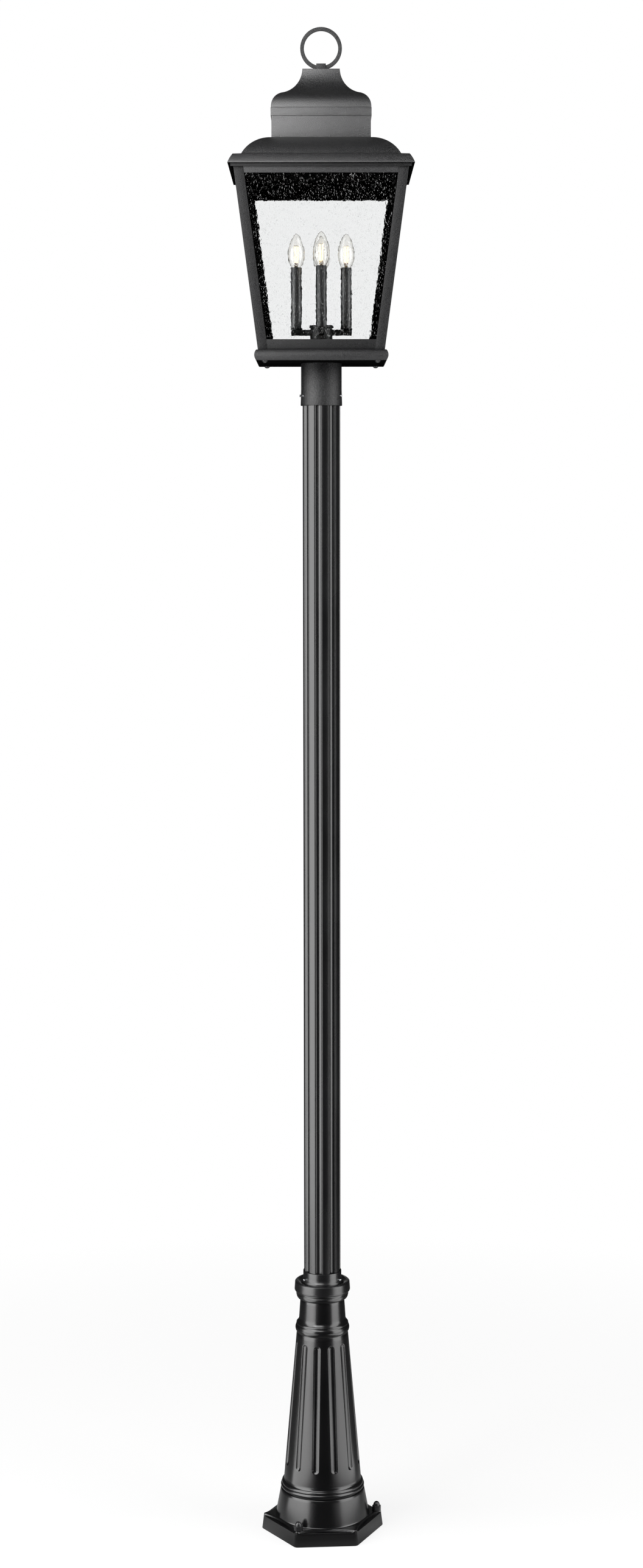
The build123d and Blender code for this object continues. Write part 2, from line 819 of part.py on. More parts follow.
# Bulbs: a torpedo glass, a screw base and a mount with upright filaments
def bulb_outline(inset, tip_inset):
    """The face between the bulb's axis and its glass, drawn in by two insets, from the neck up."""
    neck = (bulb_neck_radius - inset, 0)
    waist = (bulb_radius - inset, bulb_waist)
    tip = (0, bulb_length - tip_inset)
    with BuildSketch() as outline:
        with BuildLine():
            Bezier(waist, (bulb_radius - inset, (1 - bulb_swell) * bulb_waist), neck)
            Bezier(waist, (bulb_radius - inset, bulb_waist + bulb_swell * (bulb_length - bulb_waist)), tip)
            Polyline(tip, (0, 0), neck)
        make_face()
    return outline.sketch


with BuildPart() as glass_shape:
    with BuildSketch(Plane.XZ):
        with Locations((0, bulb_bottom)):
            add(bulb_outline(0, 0))
            add(bulb_outline(bulb_wall, bulb_tip_wall), mode=Mode.SUBTRACT)
    revolve(axis=Axis.Z)

with BuildPart() as screw_shape:
    with BuildSketch(Plane.XZ):
        with BuildLine():
            Polyline(
                (0, bulb_seat),
                (bulb_tip_radius, bulb_seat),
                (bulb_tip_radius, bulb_seat + bulb_tip_step),
                (bulb_screw_radius - bulb_screw_round, bulb_screw_bottom),
                (bulb_screw_radius, bulb_screw_bottom + bulb_screw_round),
                (bulb_screw_radius, bulb_bottom),
                (0, bulb_bottom),
                close=True,
            )
        make_face()
    revolve(axis=Axis.Z)
    thread_turns = int((bulb_screw_length - 2 * bulb_thread_start) / bulb_thread_pitch)
    first_thread = bulb_screw_bottom + bulb_thread_start
    with Locations([(0, 0, first_thread + turn * bulb_thread_pitch) for turn in range(thread_turns)]):
        Torus(bulb_screw_radius + bulb_thread_offset, bulb_thread_radius, mode=Mode.SUBTRACT)

stem_top = bulb_bottom + bulb_stem_length
with BuildPart() as filament_shape:
    with BuildSketch(Plane.XY.offset(bulb_bottom)):
        Circle(bulb_stem_radius)
    extrude(amount=bulb_stem_length)
    with BuildSketch(Plane.XY.offset(stem_top)):
        Rectangle(2 * filament_circle, filament_wire, rotation=filament_turn)
        Rectangle(2 * filament_circle, filament_wire, rotation=filament_turn + 90)
    extrude(amount=filament_wire)
    with BuildSketch(Plane.XY.offset(stem_top)):
        with PolarLocations(filament_circle, filament_count, start_angle=filament_turn):
            Circle(filament_radius)
    extrude(amount=filament_length)
    with Locations((0, 0, stem_top + filament_length)):
        Torus(filament_circle, filament_wire / 2)

for quarter, side in enumerate(sides):
    for shape, name in (
        (glass_shape, "bulb_glass"),
        (screw_shape, "bulb_screw"),
        (filament_shape, "bulb_filament"),
    ):
        with BuildPart() as bulb_piece:
            with Locations(Vector(0, -candle_circle, 0).rotate(Axis.Z, 90 * quarter)):
                add(shape.part)
        save(bulb_piece, f"{name}_{side}")

# Cage: corner stiles, rails, panes and what holds them
stile_outline = (
    (-cage_bottom_half, -cage_bottom_half),
    (-cage_bottom_half + stile_width, -cage_bottom_half),
    (-cage_bottom_half + stile_width, -cage_bottom_half + sheet),
    (-cage_bottom_half + sheet, -cage_bottom_half + sheet),
    (-cage_bottom_half + sheet, -cage_bottom_half + stile_width),
    (-cage_bottom_half, -cage_bottom_half + stile_width),
)
for quarter, corner in enumerate(corners):
    save(
        quarter_turned(leaning_bar(stile_outline, cage_bottom, cage_height), quarter),
        f"corner_stile_{corner}",
    )

rail_top = cage_bottom + bottom_rail_height
bottom_rail_outline = (
    (-cage_half(cage_bottom), cage_bottom),
    (-cage_half(rail_top), rail_top),
    (-cage_half(rail_top) + sheet, rail_top),
    (-cage_half(cage_bottom + sheet) + sheet, cage_bottom + sheet),
    (-cage_half(cage_bottom) + bottom_flange, cage_bottom + sheet),
    (-cage_half(cage_bottom) + bottom_flange, cage_bottom),
)
bottom_rails = on_four_sides(leaning_panel(bottom_rail_outline, stile_width, cage_bottom, rail_top))
save(bottom_rails, "bottom_rails")

rail_bottom = cage_top - top_rail_height
top_rail_outline = (
    (-cage_half(rail_bottom), rail_bottom),
    (-cage_half(cage_top), cage_top),
    (-cage_half(cage_top) + top_flange, cage_top),
    (-cage_half(cage_top) + top_flange, cage_top - sheet),
    (-cage_half(cage_top - sheet) + sheet, cage_top - sheet),
    (-cage_half(rail_bottom) + sheet, rail_bottom),
)
with BuildPart() as top_rail:
    add(leaning_panel(top_rail_outline, stile_width, rail_bottom, cage_top))
    with BuildSketch(Plane.XY.offset(cage_top)):
        with Locations((0, -roof_screw_place)):
            Circle(roof_screw_radius + thread_fit)
    extrude(amount=-2 * sheet, mode=Mode.SUBTRACT)
save(on_four_sides(top_rail.part), "top_rails")

pane_bottom = cage_bottom + sheet
pane_top = cage_top - sheet - glass_top_gap
pane_outline = (
    (-cage_half(pane_bottom) + sheet, pane_bottom),
    (-cage_half(pane_top) + sheet, pane_top),
    (-cage_half(pane_top) + sheet + glass_thickness, pane_top),
    (-cage_half(pane_bottom) + sheet + glass_thickness, pane_bottom),
)
pane = leaning_panel(pane_outline, glass_side_inset, pane_bottom, pane_top)
for quarter, side in enumerate(sides):
    save(quarter_turned(pane, quarter), f"glass_pane_{side}")


def glass_clip(level):
    """A clip from the inside of the left stile over the edge of the front pane."""
    corner = -cage_half(level)
    stile_face = corner + sheet
    glass_face = stile_face + glass_thickness + clip_fit
    glass_edge = corner + glass_side_inset
    clip_outline = (
        (glass_edge - clip_gap - clip_foot, stile_face),
        (glass_edge - clip_gap, stile_face),
        (glass_edge - clip_gap, glass_face),
        (glass_edge + clip_reach, glass_face),
        (glass_edge + clip_reach, glass_face + clip_thickness),
        (glass_edge - clip_gap - clip_foot, glass_face + clip_thickness),
    )
    return leaning_bar(clip_outline, level, clip_length)


with BuildPart() as clip_pair:
    for share in clip_shares:
        add(glass_clip(cage_bottom + share * cage_height - clip_length / 2))
    mirror(about=Plane.YZ)
save(on_four_sides(clip_pair.part), "glass_clips")

# Corner brackets that lie on the bottom flanges and take the screws from below
bracket_edge = cage_bottom_half - sheet - glass_thickness - bracket_gap
with BuildPart() as corner_brackets:
    with BuildSketch(Plane.XY.offset(cage_bottom + sheet)):
        bracket_middle = bracket_edge - bracket_size / 2
        with GridLocations(2 * bracket_middle, 2 * bracket_middle, 2, 2):
            Rectangle(bracket_size, bracket_size)
        with GridLocations(2 * screw_place, 2 * screw_place, 2, 2):
            Circle(pan_screw_radius + thread_fit, mode=Mode.SUBTRACT)
    extrude(amount=bracket_thickness)
save(corner_brackets, "corner_brackets")

# Ceiling tray over the cage
with BuildPart() as ceiling_tray:
    add(square_block(tray_half, cage_top - tray_rim_drop, tray_top))
    add(square_block(tray_half - sheet, cage_top - tray_rim_drop, cage_top), mode=Mode.SUBTRACT)
    with BuildSketch(Plane.XY.offset(cage_top)):
        Circle(rod_radius + thread_fit)
        with PolarLocations(roof_screw_place, 4):
            Circle(roof_screw_radius + thread_fit)
    extrude(amount=sheet, mode=Mode.SUBTRACT)
save(ceiling_tray, "ceiling_tray")

# Roof shell: a rounded eave, a narrow shoulder and a square dome
with BuildSketch() as roof_outline:
    with BuildLine() as roof_half:
        Line((0, eave_bottom), (eave_half, eave_bottom))
        SagittaArc((eave_half, eave_bottom), (eave_half - eave_depth, eave_top), -eave_bulge)
        Line((eave_half - eave_depth, eave_top), (dome_bottom_half, dome_bottom))
        SagittaArc((dome_bottom_half, dome_bottom), (chimney_half, dome_top), -dome_bulge)
        Line((chimney_half, dome_top), (0, dome_top))
        mirror(about=Plane.YZ)
    make_face()

with BuildSketch() as roof_hollow:
    add(roof_outline.sketch)
    offset(amount=-sheet, kind=Kind.INTERSECTION, mode=Mode.REPLACE)

with BuildPart() as roof_shell:
    add(square_solid(roof_outline.sketch))
    add(square_solid(roof_hollow.sketch), mode=Mode.SUBTRACT)
    add(square_block(eave_half - roof_lip, eave_bottom, dome_bottom), mode=Mode.SUBTRACT)
    add(square_block(chimney_half - roof_top_flange, dome_bottom, dome_top), mode=Mode.SUBTRACT)
    with BuildSketch(Plane.XY.offset(eave_bottom)):
        with PolarLocations(roof_screw_place, 4):
            Circle(roof_screw_radius + thread_fit)
    extrude(amount=sheet, mode=Mode.SUBTRACT)
save(roof_shell, "roof_shell")

with BuildPart() as roof_screws:
    with BuildSketch(Plane.XY.offset(cage_top - sheet - roof_screw_head_height)):
        with PolarLocations(roof_screw_place, 4):
            Circle(roof_screw_head_radius)
    extrude(amount=roof_screw_head_height)
    with BuildSketch(Plane.XY.offset(cage_top - sheet)):
        with PolarLocations(roof_screw_place, 4):
            Circle(roof_screw_radius)
    extrude(amount=3 * sheet + roof_screw_end)
save(roof_screws, "roof_screws")

# Chimney box and the ogee cap that fits over it
chimney_top = cap_bottom + cap_socket_depth
with BuildPart() as chimney_box:
    add(square_block(chimney_half, dome_top, chimney_top))
    add(square_block(chimney_half - sheet, dome_top, chimney_top), mode=Mode.SUBTRACT)
save(chimney_box, "chimney_box")

cap_rim_half = chimney_half + cap_fit + cap_rim_wall
with BuildSketch() as cap_outline:
    with BuildLine() as cap_half:
        ogee_start = (cap_rim_half - cap_edge_step, cap_rim_top)
        ogee_break = (ogee_break_half, cap_rim_top + ogee_break_rise)
        Line((0, cap_bottom), (cap_rim_half, cap_bottom))
        Polyline((cap_rim_half, cap_bottom), (cap_rim_half, cap_rim_top - cap_edge_step), ogee_start)
        SagittaArc(ogee_start, ogee_break, -ogee_lower_bulge)
        SagittaArc(ogee_break, (cap_top_half, cap_top), ogee_upper_bulge)
        Line((cap_top_half, cap_top), (0, cap_top))
        mirror(about=Plane.YZ)
    make_face()

with BuildSketch() as cap_hollow:
    add(cap_outline.sketch)
    offset(amount=-cap_wall, kind=Kind.INTERSECTION, mode=Mode.REPLACE)

with BuildPart() as chimney_cap:
    add(square_solid(cap_outline.sketch))
    add(square_solid(cap_hollow.sketch), mode=Mode.SUBTRACT)
    add(square_block(chimney_half + cap_fit, cap_bottom, chimney_top), mode=Mode.SUBTRACT)
    with BuildSketch(Plane.XY.offset(cap_top)):
        Circle(rod_radius + thread_fit)
    extrude(amount=-2 * cap_wall, mode=Mode.SUBTRACT)
save(chimney_cap, "chimney_cap")

# Ring that stands in a saddle on the cap
with BuildPart() as finial_ring:
    with BuildSketch(Plane.XZ):
        with Locations((0, ring_centre)):
            Circle(ring_radius)
            Circle(ring_radius - ring_bar, mode=Mode.SUBTRACT)
    extrude(amount=ring_thickness / 2, both=True)
    fillet(finial_ring.edges().filter_by(GeomType.CIRCLE), ring_edge_round)
save(finial_ring, "finial_ring")

with BuildPart() as ring_saddle:
    with BuildSketch(Plane.XY.offset(cap_top)):
        Rectangle(saddle_width, saddle_depth)
    extrude(amount=saddle_height)
    fillet(ring_saddle.edges().group_by(Axis.Z)[-1], saddle_round)
    with BuildSketch(Plane.XZ):
        with Locations((0, ring_centre)):
            Circle(ring_radius + ring_fit)
            Circle(ring_radius - ring_bar - ring_fit, mode=Mode.SUBTRACT)
    extrude(amount=ring_thickness / 2 + ring_fit, both=True, mode=Mode.SUBTRACT)
    with BuildSketch(Plane.XY.offset(cap_top)):
        Circle(rod_radius + thread_fit)
    extrude(amount=ring_gap, mode=Mode.SUBTRACT)
save(ring_saddle, "ring_saddle")

# Tie rod from the ceiling tray up to the saddle, and its nut
rod_bottom = cage_top - rod_nut_height - rod_end
rod_top = cap_top + ring_gap - 2 * ring_fit
with BuildPart() as tie_rod:
    with BuildSketch(Plane.XY.offset(rod_bottom)):
        Circle(rod_radius)
    extrude(amount=rod_top - rod_bottom)
save(tie_rod, "tie_rod")

with BuildPart() as tie_rod_nut:
    add(hex_nut(rod_nut_flats, rod_radius + thread_fit, cage_top - rod_nut_height, rod_nut_height))
save(tie_rod_nut, "tie_rod_nut")
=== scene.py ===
"""Four-light post light: its finished look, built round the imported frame."""

import math
from functools import partial

import bmesh
import bpy
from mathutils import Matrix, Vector, noise


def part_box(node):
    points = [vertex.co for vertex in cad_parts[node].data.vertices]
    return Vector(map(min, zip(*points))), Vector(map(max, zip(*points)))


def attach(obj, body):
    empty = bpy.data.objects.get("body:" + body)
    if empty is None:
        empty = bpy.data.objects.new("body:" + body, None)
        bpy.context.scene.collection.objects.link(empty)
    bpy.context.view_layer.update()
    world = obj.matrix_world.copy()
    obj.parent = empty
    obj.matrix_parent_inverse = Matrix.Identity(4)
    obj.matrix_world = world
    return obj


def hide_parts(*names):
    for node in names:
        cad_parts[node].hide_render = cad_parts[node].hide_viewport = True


bl_info = {
    "name": "Post Light",
    "version": (1, 0, 0),
    "blender": (4, 5, 0),
    "location": "3D View > Sidebar > Post Light",
    "description": "A square glass lantern with candle bulbs on a grooved post",
    "category": "Object",
}

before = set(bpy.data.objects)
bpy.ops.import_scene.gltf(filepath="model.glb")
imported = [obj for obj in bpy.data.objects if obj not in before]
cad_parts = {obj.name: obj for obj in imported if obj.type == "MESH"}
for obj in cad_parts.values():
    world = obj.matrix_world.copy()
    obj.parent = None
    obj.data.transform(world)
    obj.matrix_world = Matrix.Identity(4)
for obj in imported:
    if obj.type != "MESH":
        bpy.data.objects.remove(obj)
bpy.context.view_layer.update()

SIDES = ("front", "right", "back", "left")
CORNERS = ("front_left", "front_right", "back_right", "back_left")

# Lengths are in metres and angles in degrees, but the pedestal's own outlines are in millimetres.
MM = 0.001
PLATE_TURN = 4.0
FLUTE_ENDS = (143.0, 410.0)
PEDESTAL_BORE, PLATE_CEILING = 91.5, 26.0

CAMERA_AWAY, CAMERA_LEVEL = 5.3, 2.162
CAMERA_DROP, CAMERA_ROLL = 6.2, 0.06
FOCAL_PIXELS, PICTURE_HEIGHT = 4253.0, 2576.0

WHITE = (1.0, 1.0, 1.0, 1.0)
GLASS_IOR = 1.45

# Share of a direction that points away from the camera, from which mirrors show the white backdrop.
STRAIGHT_BEHIND = (0.97, 1.0)


# Sizes and colours


class PostLightFinish(bpy.types.PropertyGroup):
    """Colours and paint of the post light."""

    coat_colour: bpy.props.FloatVectorProperty(
        name="Lantern coat", description="Colour of the textured coat on the lantern",
        subtype="COLOR", size=4, min=0.0, max=1.0, default=(0.016, 0.016, 0.0172, 1.0),
    )
    coat_grain: bpy.props.FloatProperty(
        name="Coat grain", description="Size of the grain of the lantern's coat",
        default=0.0014, min=0.0003, unit="LENGTH",
    )
    paint_colour: bpy.props.FloatVectorProperty(
        name="Post paint", description="Colour of the satin paint on the post and the pedestal",
        subtype="COLOR", size=4, min=0.0, max=1.0, default=(0.0045, 0.0045, 0.005, 1.0),
    )
    candle_colour: bpy.props.FloatVectorProperty(
        name="Candle paint", description="Colour of the candle sleeves, the arms and the hub",
        subtype="COLOR", size=4, min=0.0, max=1.0, default=(0.016, 0.016, 0.017, 1.0),
    )
    glow_colour: bpy.props.FloatVectorProperty(
        name="Filament glow", description="Colour of the light of the filaments",
        subtype="COLOR", size=4, min=0.0, max=1.0, default=(1.0, 0.80, 0.50, 1.0),
    )
    glow_strength: bpy.props.FloatProperty(
        name="Filament strength", description="Brightness of the filaments", default=1.7, min=0.0,
    )


class PostLightSizes(bpy.types.PropertyGroup):
    """Sizes of the pieces that the finish adds."""

    sheet_round: bpy.props.FloatProperty(
        name="Sheet edge", description="Rounding of the lantern's sheet metal edges",
        default=0.0006, min=0.0, unit="LENGTH",
    )
    cage_foot_half: bpy.props.FloatProperty(
        name="Cage foot", description="Half the cage's width over its outer faces at its foot",
        default=0.1255, min=0.05, unit="LENGTH",
    )
    flute_count: bpy.props.IntProperty(
        name="Flutes", description="Number of flutes round the pedestal", default=12, min=3,
    )
    flute_width: bpy.props.FloatProperty(
        name="Flute width", description="Width of one flute of the pedestal", default=0.014, min=0.001,
        unit="LENGTH",
    )
    flute_depth: bpy.props.FloatProperty(
        name="Flute depth", description="Depth of one flute of the pedestal", default=0.0032, min=0.0001,
        unit="LENGTH",
    )
    groove_count: bpy.props.IntProperty(
        name="Grooves", description="Number of grooves round the post", default=8, min=3,
    )
    groove_width: bpy.props.FloatProperty(
        name="Groove width", description="Width of one groove of the post", default=0.0143, min=0.001,
        unit="LENGTH",
    )
    groove_depth: bpy.props.FloatProperty(
        name="Groove depth", description="Depth of one groove of the post", default=0.0037, min=0.0001,
        unit="LENGTH",
    )
    groove_turn: bpy.props.FloatProperty(
        name="Groove turn", description="Angle of the first groove from the front, towards the right",
        default=math.radians(-10.8), unit="ROTATION",
    )
    seed_density: bpy.props.FloatProperty(
        name="Seeds", description="Seeds of the glass on a square metre", default=60000.0, min=0.0,
    )
    seed_width: bpy.props.FloatProperty(
        name="Seed width", description="Half the width of a large seed", default=0.00030, min=0.0001,
        unit="LENGTH",
    )
    seed_length: bpy.props.FloatProperty(
        name="Seed length", description="Half the length of a long seed", default=0.0030, min=0.0001,
        unit="LENGTH",
    )
    strip_inset: bpy.props.FloatProperty(
        name="Strip edge", description="Inner edge of the glazing strips, from the outside of the cage",
        default=0.0305, min=0.02, unit="LENGTH",
    )
    strip_drop: bpy.props.FloatProperty(
        name="Strip drop", description="Height of the glazing strips along the top of the panes",
        default=0.0300, min=0.018, unit="LENGTH",
    )
    strip_sheet: bpy.props.FloatProperty(
        name="Strip sheet", description="Thickness of the glazing strips",
        default=0.0008, min=0.0003, unit="LENGTH",
    )
    glass_wave: bpy.props.FloatProperty(
        name="Glass wave", description="Height of the waves in the panes", default=0.00005, min=0.0,
        unit="LENGTH",
    )


def finish():
    return bpy.context.scene.post_light_finish


def sizes():
    return bpy.context.scene.post_light_sizes


# Shader helpers


def add_node(tree, kind, inputs=None, **settings):
    """A node of the tree, with its settings, and with values or links on its inputs."""
    made = tree.nodes.new(kind)
    for name, value in settings.items():
        setattr(made, name, value)
    for key, value in (inputs or {}).items():
        if isinstance(value, bpy.types.NodeSocket):
            tree.links.new(value, made.inputs[key])
        else:
            made.inputs[key].default_value = value
    return made


def new_material(name):
    """An empty material and the tree to build it in."""
    material = bpy.data.materials.new(name)
    material.use_nodes = True
    material.node_tree.nodes.clear()
    return material, material.node_tree


def surface(tree, shader):
    add_node(tree, "ShaderNodeOutputMaterial", {"Surface": shader})


def object_coordinates(tree):
    return add_node(tree, "ShaderNodeTexCoord").outputs["Object"]


def ramp(tree, factor, stops):
    """A colour ramp from (position, grey or colour) stops."""
    made = add_node(tree, "ShaderNodeValToRGB", {"Fac": factor})
    elements = made.color_ramp.elements
    while len(elements) < len(stops):
        elements.new(0.5)
    for element, (position, value) in zip(elements, stops):
        element.position = position
        element.color = value if isinstance(value, tuple) else (value, value, value, 1.0)
    return made.outputs["Color"]


def noise_texture(tree, vector, scale, detail=2.0, **inputs):
    """Noise over a vector, as its factor."""
    return add_node(tree, "ShaderNodeTexNoise", {
        "Vector": vector, "Scale": scale, "Detail": detail, **inputs,
    }).outputs["Fac"]


def spread_out(tree, value, source, target):
    """The value, carried from a source span to a target span."""
    return add_node(tree, "ShaderNodeMapRange", {
        "Value": value,
        "From Min": source[0], "From Max": source[1],
        "To Min": target[0], "To Max": target[1],
    }).outputs[0]


def bumped(tree, height, distance, strength=1.0):
    """The normal that a height gives."""
    return add_node(tree, "ShaderNodeBump", {
        "Strength": strength, "Distance": distance, "Height": height,
    }).outputs[0]


def scaled(colour, factor):
    return tuple(min(1.0, channel * factor) for channel in colour[:3]) + (1.0,)


def textured_coat(name, colour, grain, roughness, ior, gloss=0.5, relief=0.55):
    """Powder coat with a fine grain: pale and dark specks, a rough surface and a little unevenness."""
    material, tree = new_material(name)
    place = object_coordinates(tree)
    fine = noise_texture(tree, place, 1.0 / grain, Roughness=0.6)
    speck = ramp(tree, fine, [
        (0.36, scaled(colour, 0.3)), (0.50, scaled(colour, 0.9)), (0.64, scaled(colour, 2.8)),
    ])
    cloud = ramp(tree, noise_texture(tree, place, 11.0), [(0.3, 0.88), (0.7, 1.0)])
    tint = add_node(tree, "ShaderNodeMixRGB", {
        "Fac": 1.0, "Color1": speck, "Color2": cloud,
    }, blend_type="MULTIPLY")
    shader = add_node(tree, "ShaderNodeBsdfPrincipled", {
        "Base Color": tint.outputs[0],
        "Roughness": spread_out(tree, fine, (0.35, 0.65), (roughness - 0.10, roughness + 0.10)),
        "Normal": bumped(tree, fine, grain * relief),
        "IOR": ior,
        "Specular IOR Level": gloss,
    })
    surface(tree, shader.outputs[0])
    return material


def satin_paint(name, colour, roughness, ripple):
    """Smooth satin paint with a faint ripple and slight changes of gloss."""
    material, tree = new_material(name)
    place = object_coordinates(tree)
    cloud = noise_texture(tree, place, 9.0, 3.0)
    shader = add_node(tree, "ShaderNodeBsdfPrincipled", {
        "Base Color": ramp(tree, cloud, [(0.3, scaled(colour, 0.85)), (0.7, scaled(colour, 1.2))]),
        "Roughness": spread_out(tree, cloud, (0.3, 0.7), (roughness - 0.03, roughness + 0.03)),
        "Normal": bumped(tree, noise_texture(tree, place, 320.0), 0.0002, ripple),
        "IOR": 1.75,
    })
    surface(tree, shader.outputs[0])
    return material


def plated_metal(name, colour, roughness, scratch):
    """Plated steel with fine turning marks."""
    material, tree = new_material(name)
    marks = noise_texture(tree, object_coordinates(tree), 900.0, 4.0)
    shader = add_node(tree, "ShaderNodeBsdfPrincipled", {
        "Base Color": ramp(tree, marks, [(0.35, scaled(colour, 0.8)), (0.7, scaled(colour, 1.1))]),
        "Metallic": 1.0,
        "Roughness": spread_out(tree, marks, (0.0, 1.0), (roughness, roughness + 0.15)),
        "Normal": bumped(tree, marks, 0.0001, scratch),
    })
    surface(tree, shader.outputs[0])
    return material


def clear_glass(name, tint, ripple_scale, ripple, ripple_share=None, painted_glow=None, painted_glow_strength=0.0):
    """Clear glass with a soft ripple drawn out along the height, on the faces that an attribute names, and a
    faint painted glow of light where one is given.
    """
    material, tree = new_material(name)
    drawn = add_node(tree, "ShaderNodeMapping", {
        "Vector": object_coordinates(tree), "Scale": (1.0, 1.0, 0.5),
    })
    share = 1.0
    if ripple_share:
        share = add_node(tree, "ShaderNodeAttribute", attribute_name=ripple_share).outputs["Fac"]
    shader = add_node(tree, "ShaderNodeBsdfPrincipled", {
        "Base Color": tint,
        "Roughness": 0.0,
        "IOR": GLASS_IOR,
        "Transmission Weight": 1.0,
        "Normal": bumped(tree, noise_texture(tree, drawn.outputs[0], ripple_scale, 1.5), ripple, share),
        # Painted light: the glow makes the glass look lit from inside.
        "Emission Color": painted_glow or tint,
        "Emission Strength": painted_glow_strength,
    })
    surface(tree, shader.outputs[0])
    return material


def seed_finish(name):
    """Skin of the seeds in the glass: clear, with a little white where the bubble is flawed, and a faint
    white glow all over that is a painted highlight.
    """
    material, tree = new_material(name)
    flaws = noise_texture(tree, object_coordinates(tree), 700.0)
    shader = add_node(tree, "ShaderNodeBsdfPrincipled", {
        "Base Color": (0.92, 0.93, 0.93, 1.0),
        "Roughness": 0.08,
        "IOR": GLASS_IOR,
        "Transmission Weight": spread_out(tree, flaws, (0.35, 0.65), (0.95, 0.55)),
        # Painted highlight: a faint white glow, so that the seeds show as bright specks.
        "Emission Color": WHITE,
        "Emission Strength": 0.10,
    })
    surface(tree, shader.outputs[0])
    return material


def glowing(name, colour, strength):
    """Phosphor of a lit filament, a little deeper at its grains."""
    material, tree = new_material(name)
    grains = noise_texture(tree, object_coordinates(tree), 600.0)
    tint = ramp(tree, grains, [(0.3, scaled(colour, 0.9)), (0.7, scaled(colour, 1.0))])
    shader = add_node(tree, "ShaderNodeBsdfPrincipled", {
        "Base Color": tint, "Roughness": 0.5, "Emission Color": tint, "Emission Strength": strength,
    })
    surface(tree, shader.outputs[0])
    return material


MATERIALS = {}


def coats(paint):
    """Lit and shaded copies of the lantern's one textured coat: share of the coat's colour, roughness and
    index of each. The smaller shares are painted shade on the stiles, the bottom rails, the ceiling tray, the
    pan and the fitter.
    """
    return {
        name: textured_coat(name, scaled(paint.coat_colour, share), paint.coat_grain, roughness, ior)
        for name, share, roughness, ior in (
            ("lantern_coat", 0.9, 0.46, 1.7),
            ("fitter_coat", 0.6, 0.34, 1.6),
            ("roof_coat", 0.85, 0.43, 2.3),
            ("stile_shaded_coat", 0.5, 0.48, 1.5),
            ("rail_shaded_coat", 0.42, 0.48, 1.45),
            ("pan_shaded_coat", 0.75, 0.46, 1.6),
        )
    }


def dark_finishes(paint):
    """Paint of the post, the pedestal, the candles and the nuts, and a near-black coat without gloss that is
    painted shade on undersides, inward faces and the glazing strips.
    """
    fine = {"grain": 0.0008, "gloss": 0.5, "relief": 0.16}
    black = (0.003, 0.003, 0.003, 1.0)
    # The hub, arms and cups take a darker copy of the candle paint, as painted shade.
    hub_shaded_colour = scaled(paint.candle_colour, 0.4)
    return {
        # Painted shade: near-black with no gloss, for faces that light should barely reach.
        "painted_shade_black": textured_coat("painted_shade_black", black, paint.coat_grain, 0.8, 1.3, 0.0),
        "post_paint": satin_paint("post_paint", paint.paint_colour, 0.27, 0.12),
        # The pedestal takes a darker copy of the post paint, as painted shade.
        "pedestal_shaded_paint": satin_paint("pedestal_shaded_paint", scaled(paint.paint_colour, 0.6), 0.23, 0.12),
        "candle_paint": textured_coat("candle_paint", paint.candle_colour, roughness=0.40, ior=1.9, **fine),
        "hub_shaded_paint": textured_coat("hub_shaded_paint", hub_shaded_colour, roughness=0.45, ior=1.5, **fine),
        "nut_black": satin_paint("nut_black", (0.013, 0.013, 0.014), 0.32, 0.1),
        "socket_black": satin_paint("socket_black", (0.016, 0.016, 0.016), 0.5, 0.2),
    }


def metals():
    """Plated metals: colour, roughness and strength of the turning marks of each."""
    return {
        name: plated_metal(name, colour, roughness, scratch)
        for name, colour, roughness, scratch in (
            ("bright_steel", (0.72, 0.73, 0.75), 0.12, 0.05),
            ("plain_steel", (0.45, 0.45, 0.46), 0.3, 0.15),
            ("nickel", (0.62, 0.60, 0.55), 0.22, 0.1),
            ("copper", (0.36, 0.20, 0.09), 0.4, 0.1),
        )
    }


def glasses(paint):
    """Glass of the panes, their seeds and the bulbs, and the lit filament."""
    return {
        "seeded_glass": clear_glass("seeded_glass", (0.985, 0.99, 0.99, 1.0), 220.0, 0.00012, "rippled"),
        "seed_glass": seed_finish("seed_glass"),
        "bulb_glass": clear_glass(
            "bulb_glass", (0.985, 0.985, 0.98, 1.0), 60.0, 0.00001,
            # Painted light: the bulb glass glows faintly in the filament's colour, as if lit by the filament.
            painted_glow=paint.glow_colour, painted_glow_strength=0.012,
        ),
        "filament": glowing("filament", paint.glow_colour, paint.glow_strength),
    }


def material(name):
    """The finish of that name, made when it is first asked for."""
    if not MATERIALS:
        paint = finish()
        for finishes in (coats(paint), dark_finishes(paint), metals(), glasses(paint)):
            MATERIALS.update(finishes)
    return MATERIALS[name]


# Mesh helpers


def new_piece(name, mesh, body, slot, finish_name, *nodes):
    """An object of the mesh that rides on a body, takes a finish and stands for CAD nodes."""
    piece = bpy.data.objects.new(name, mesh)
    bpy.context.scene.collection.objects.link(piece)
    if finish_name:
        mesh.materials.clear()
        mesh.materials.append(material(finish_name))
    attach(piece, body)
    if nodes:
        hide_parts(*nodes)
    return piece


def shade(mesh, angle=30.0):
    """Smooth shading that stays sharp where faces meet at more than the angle."""
    mesh.polygons.foreach_set("use_smooth", [True] * len(mesh.polygons))
    mesh.set_sharp_from_angle(angle=math.radians(angle))
    mesh.update()


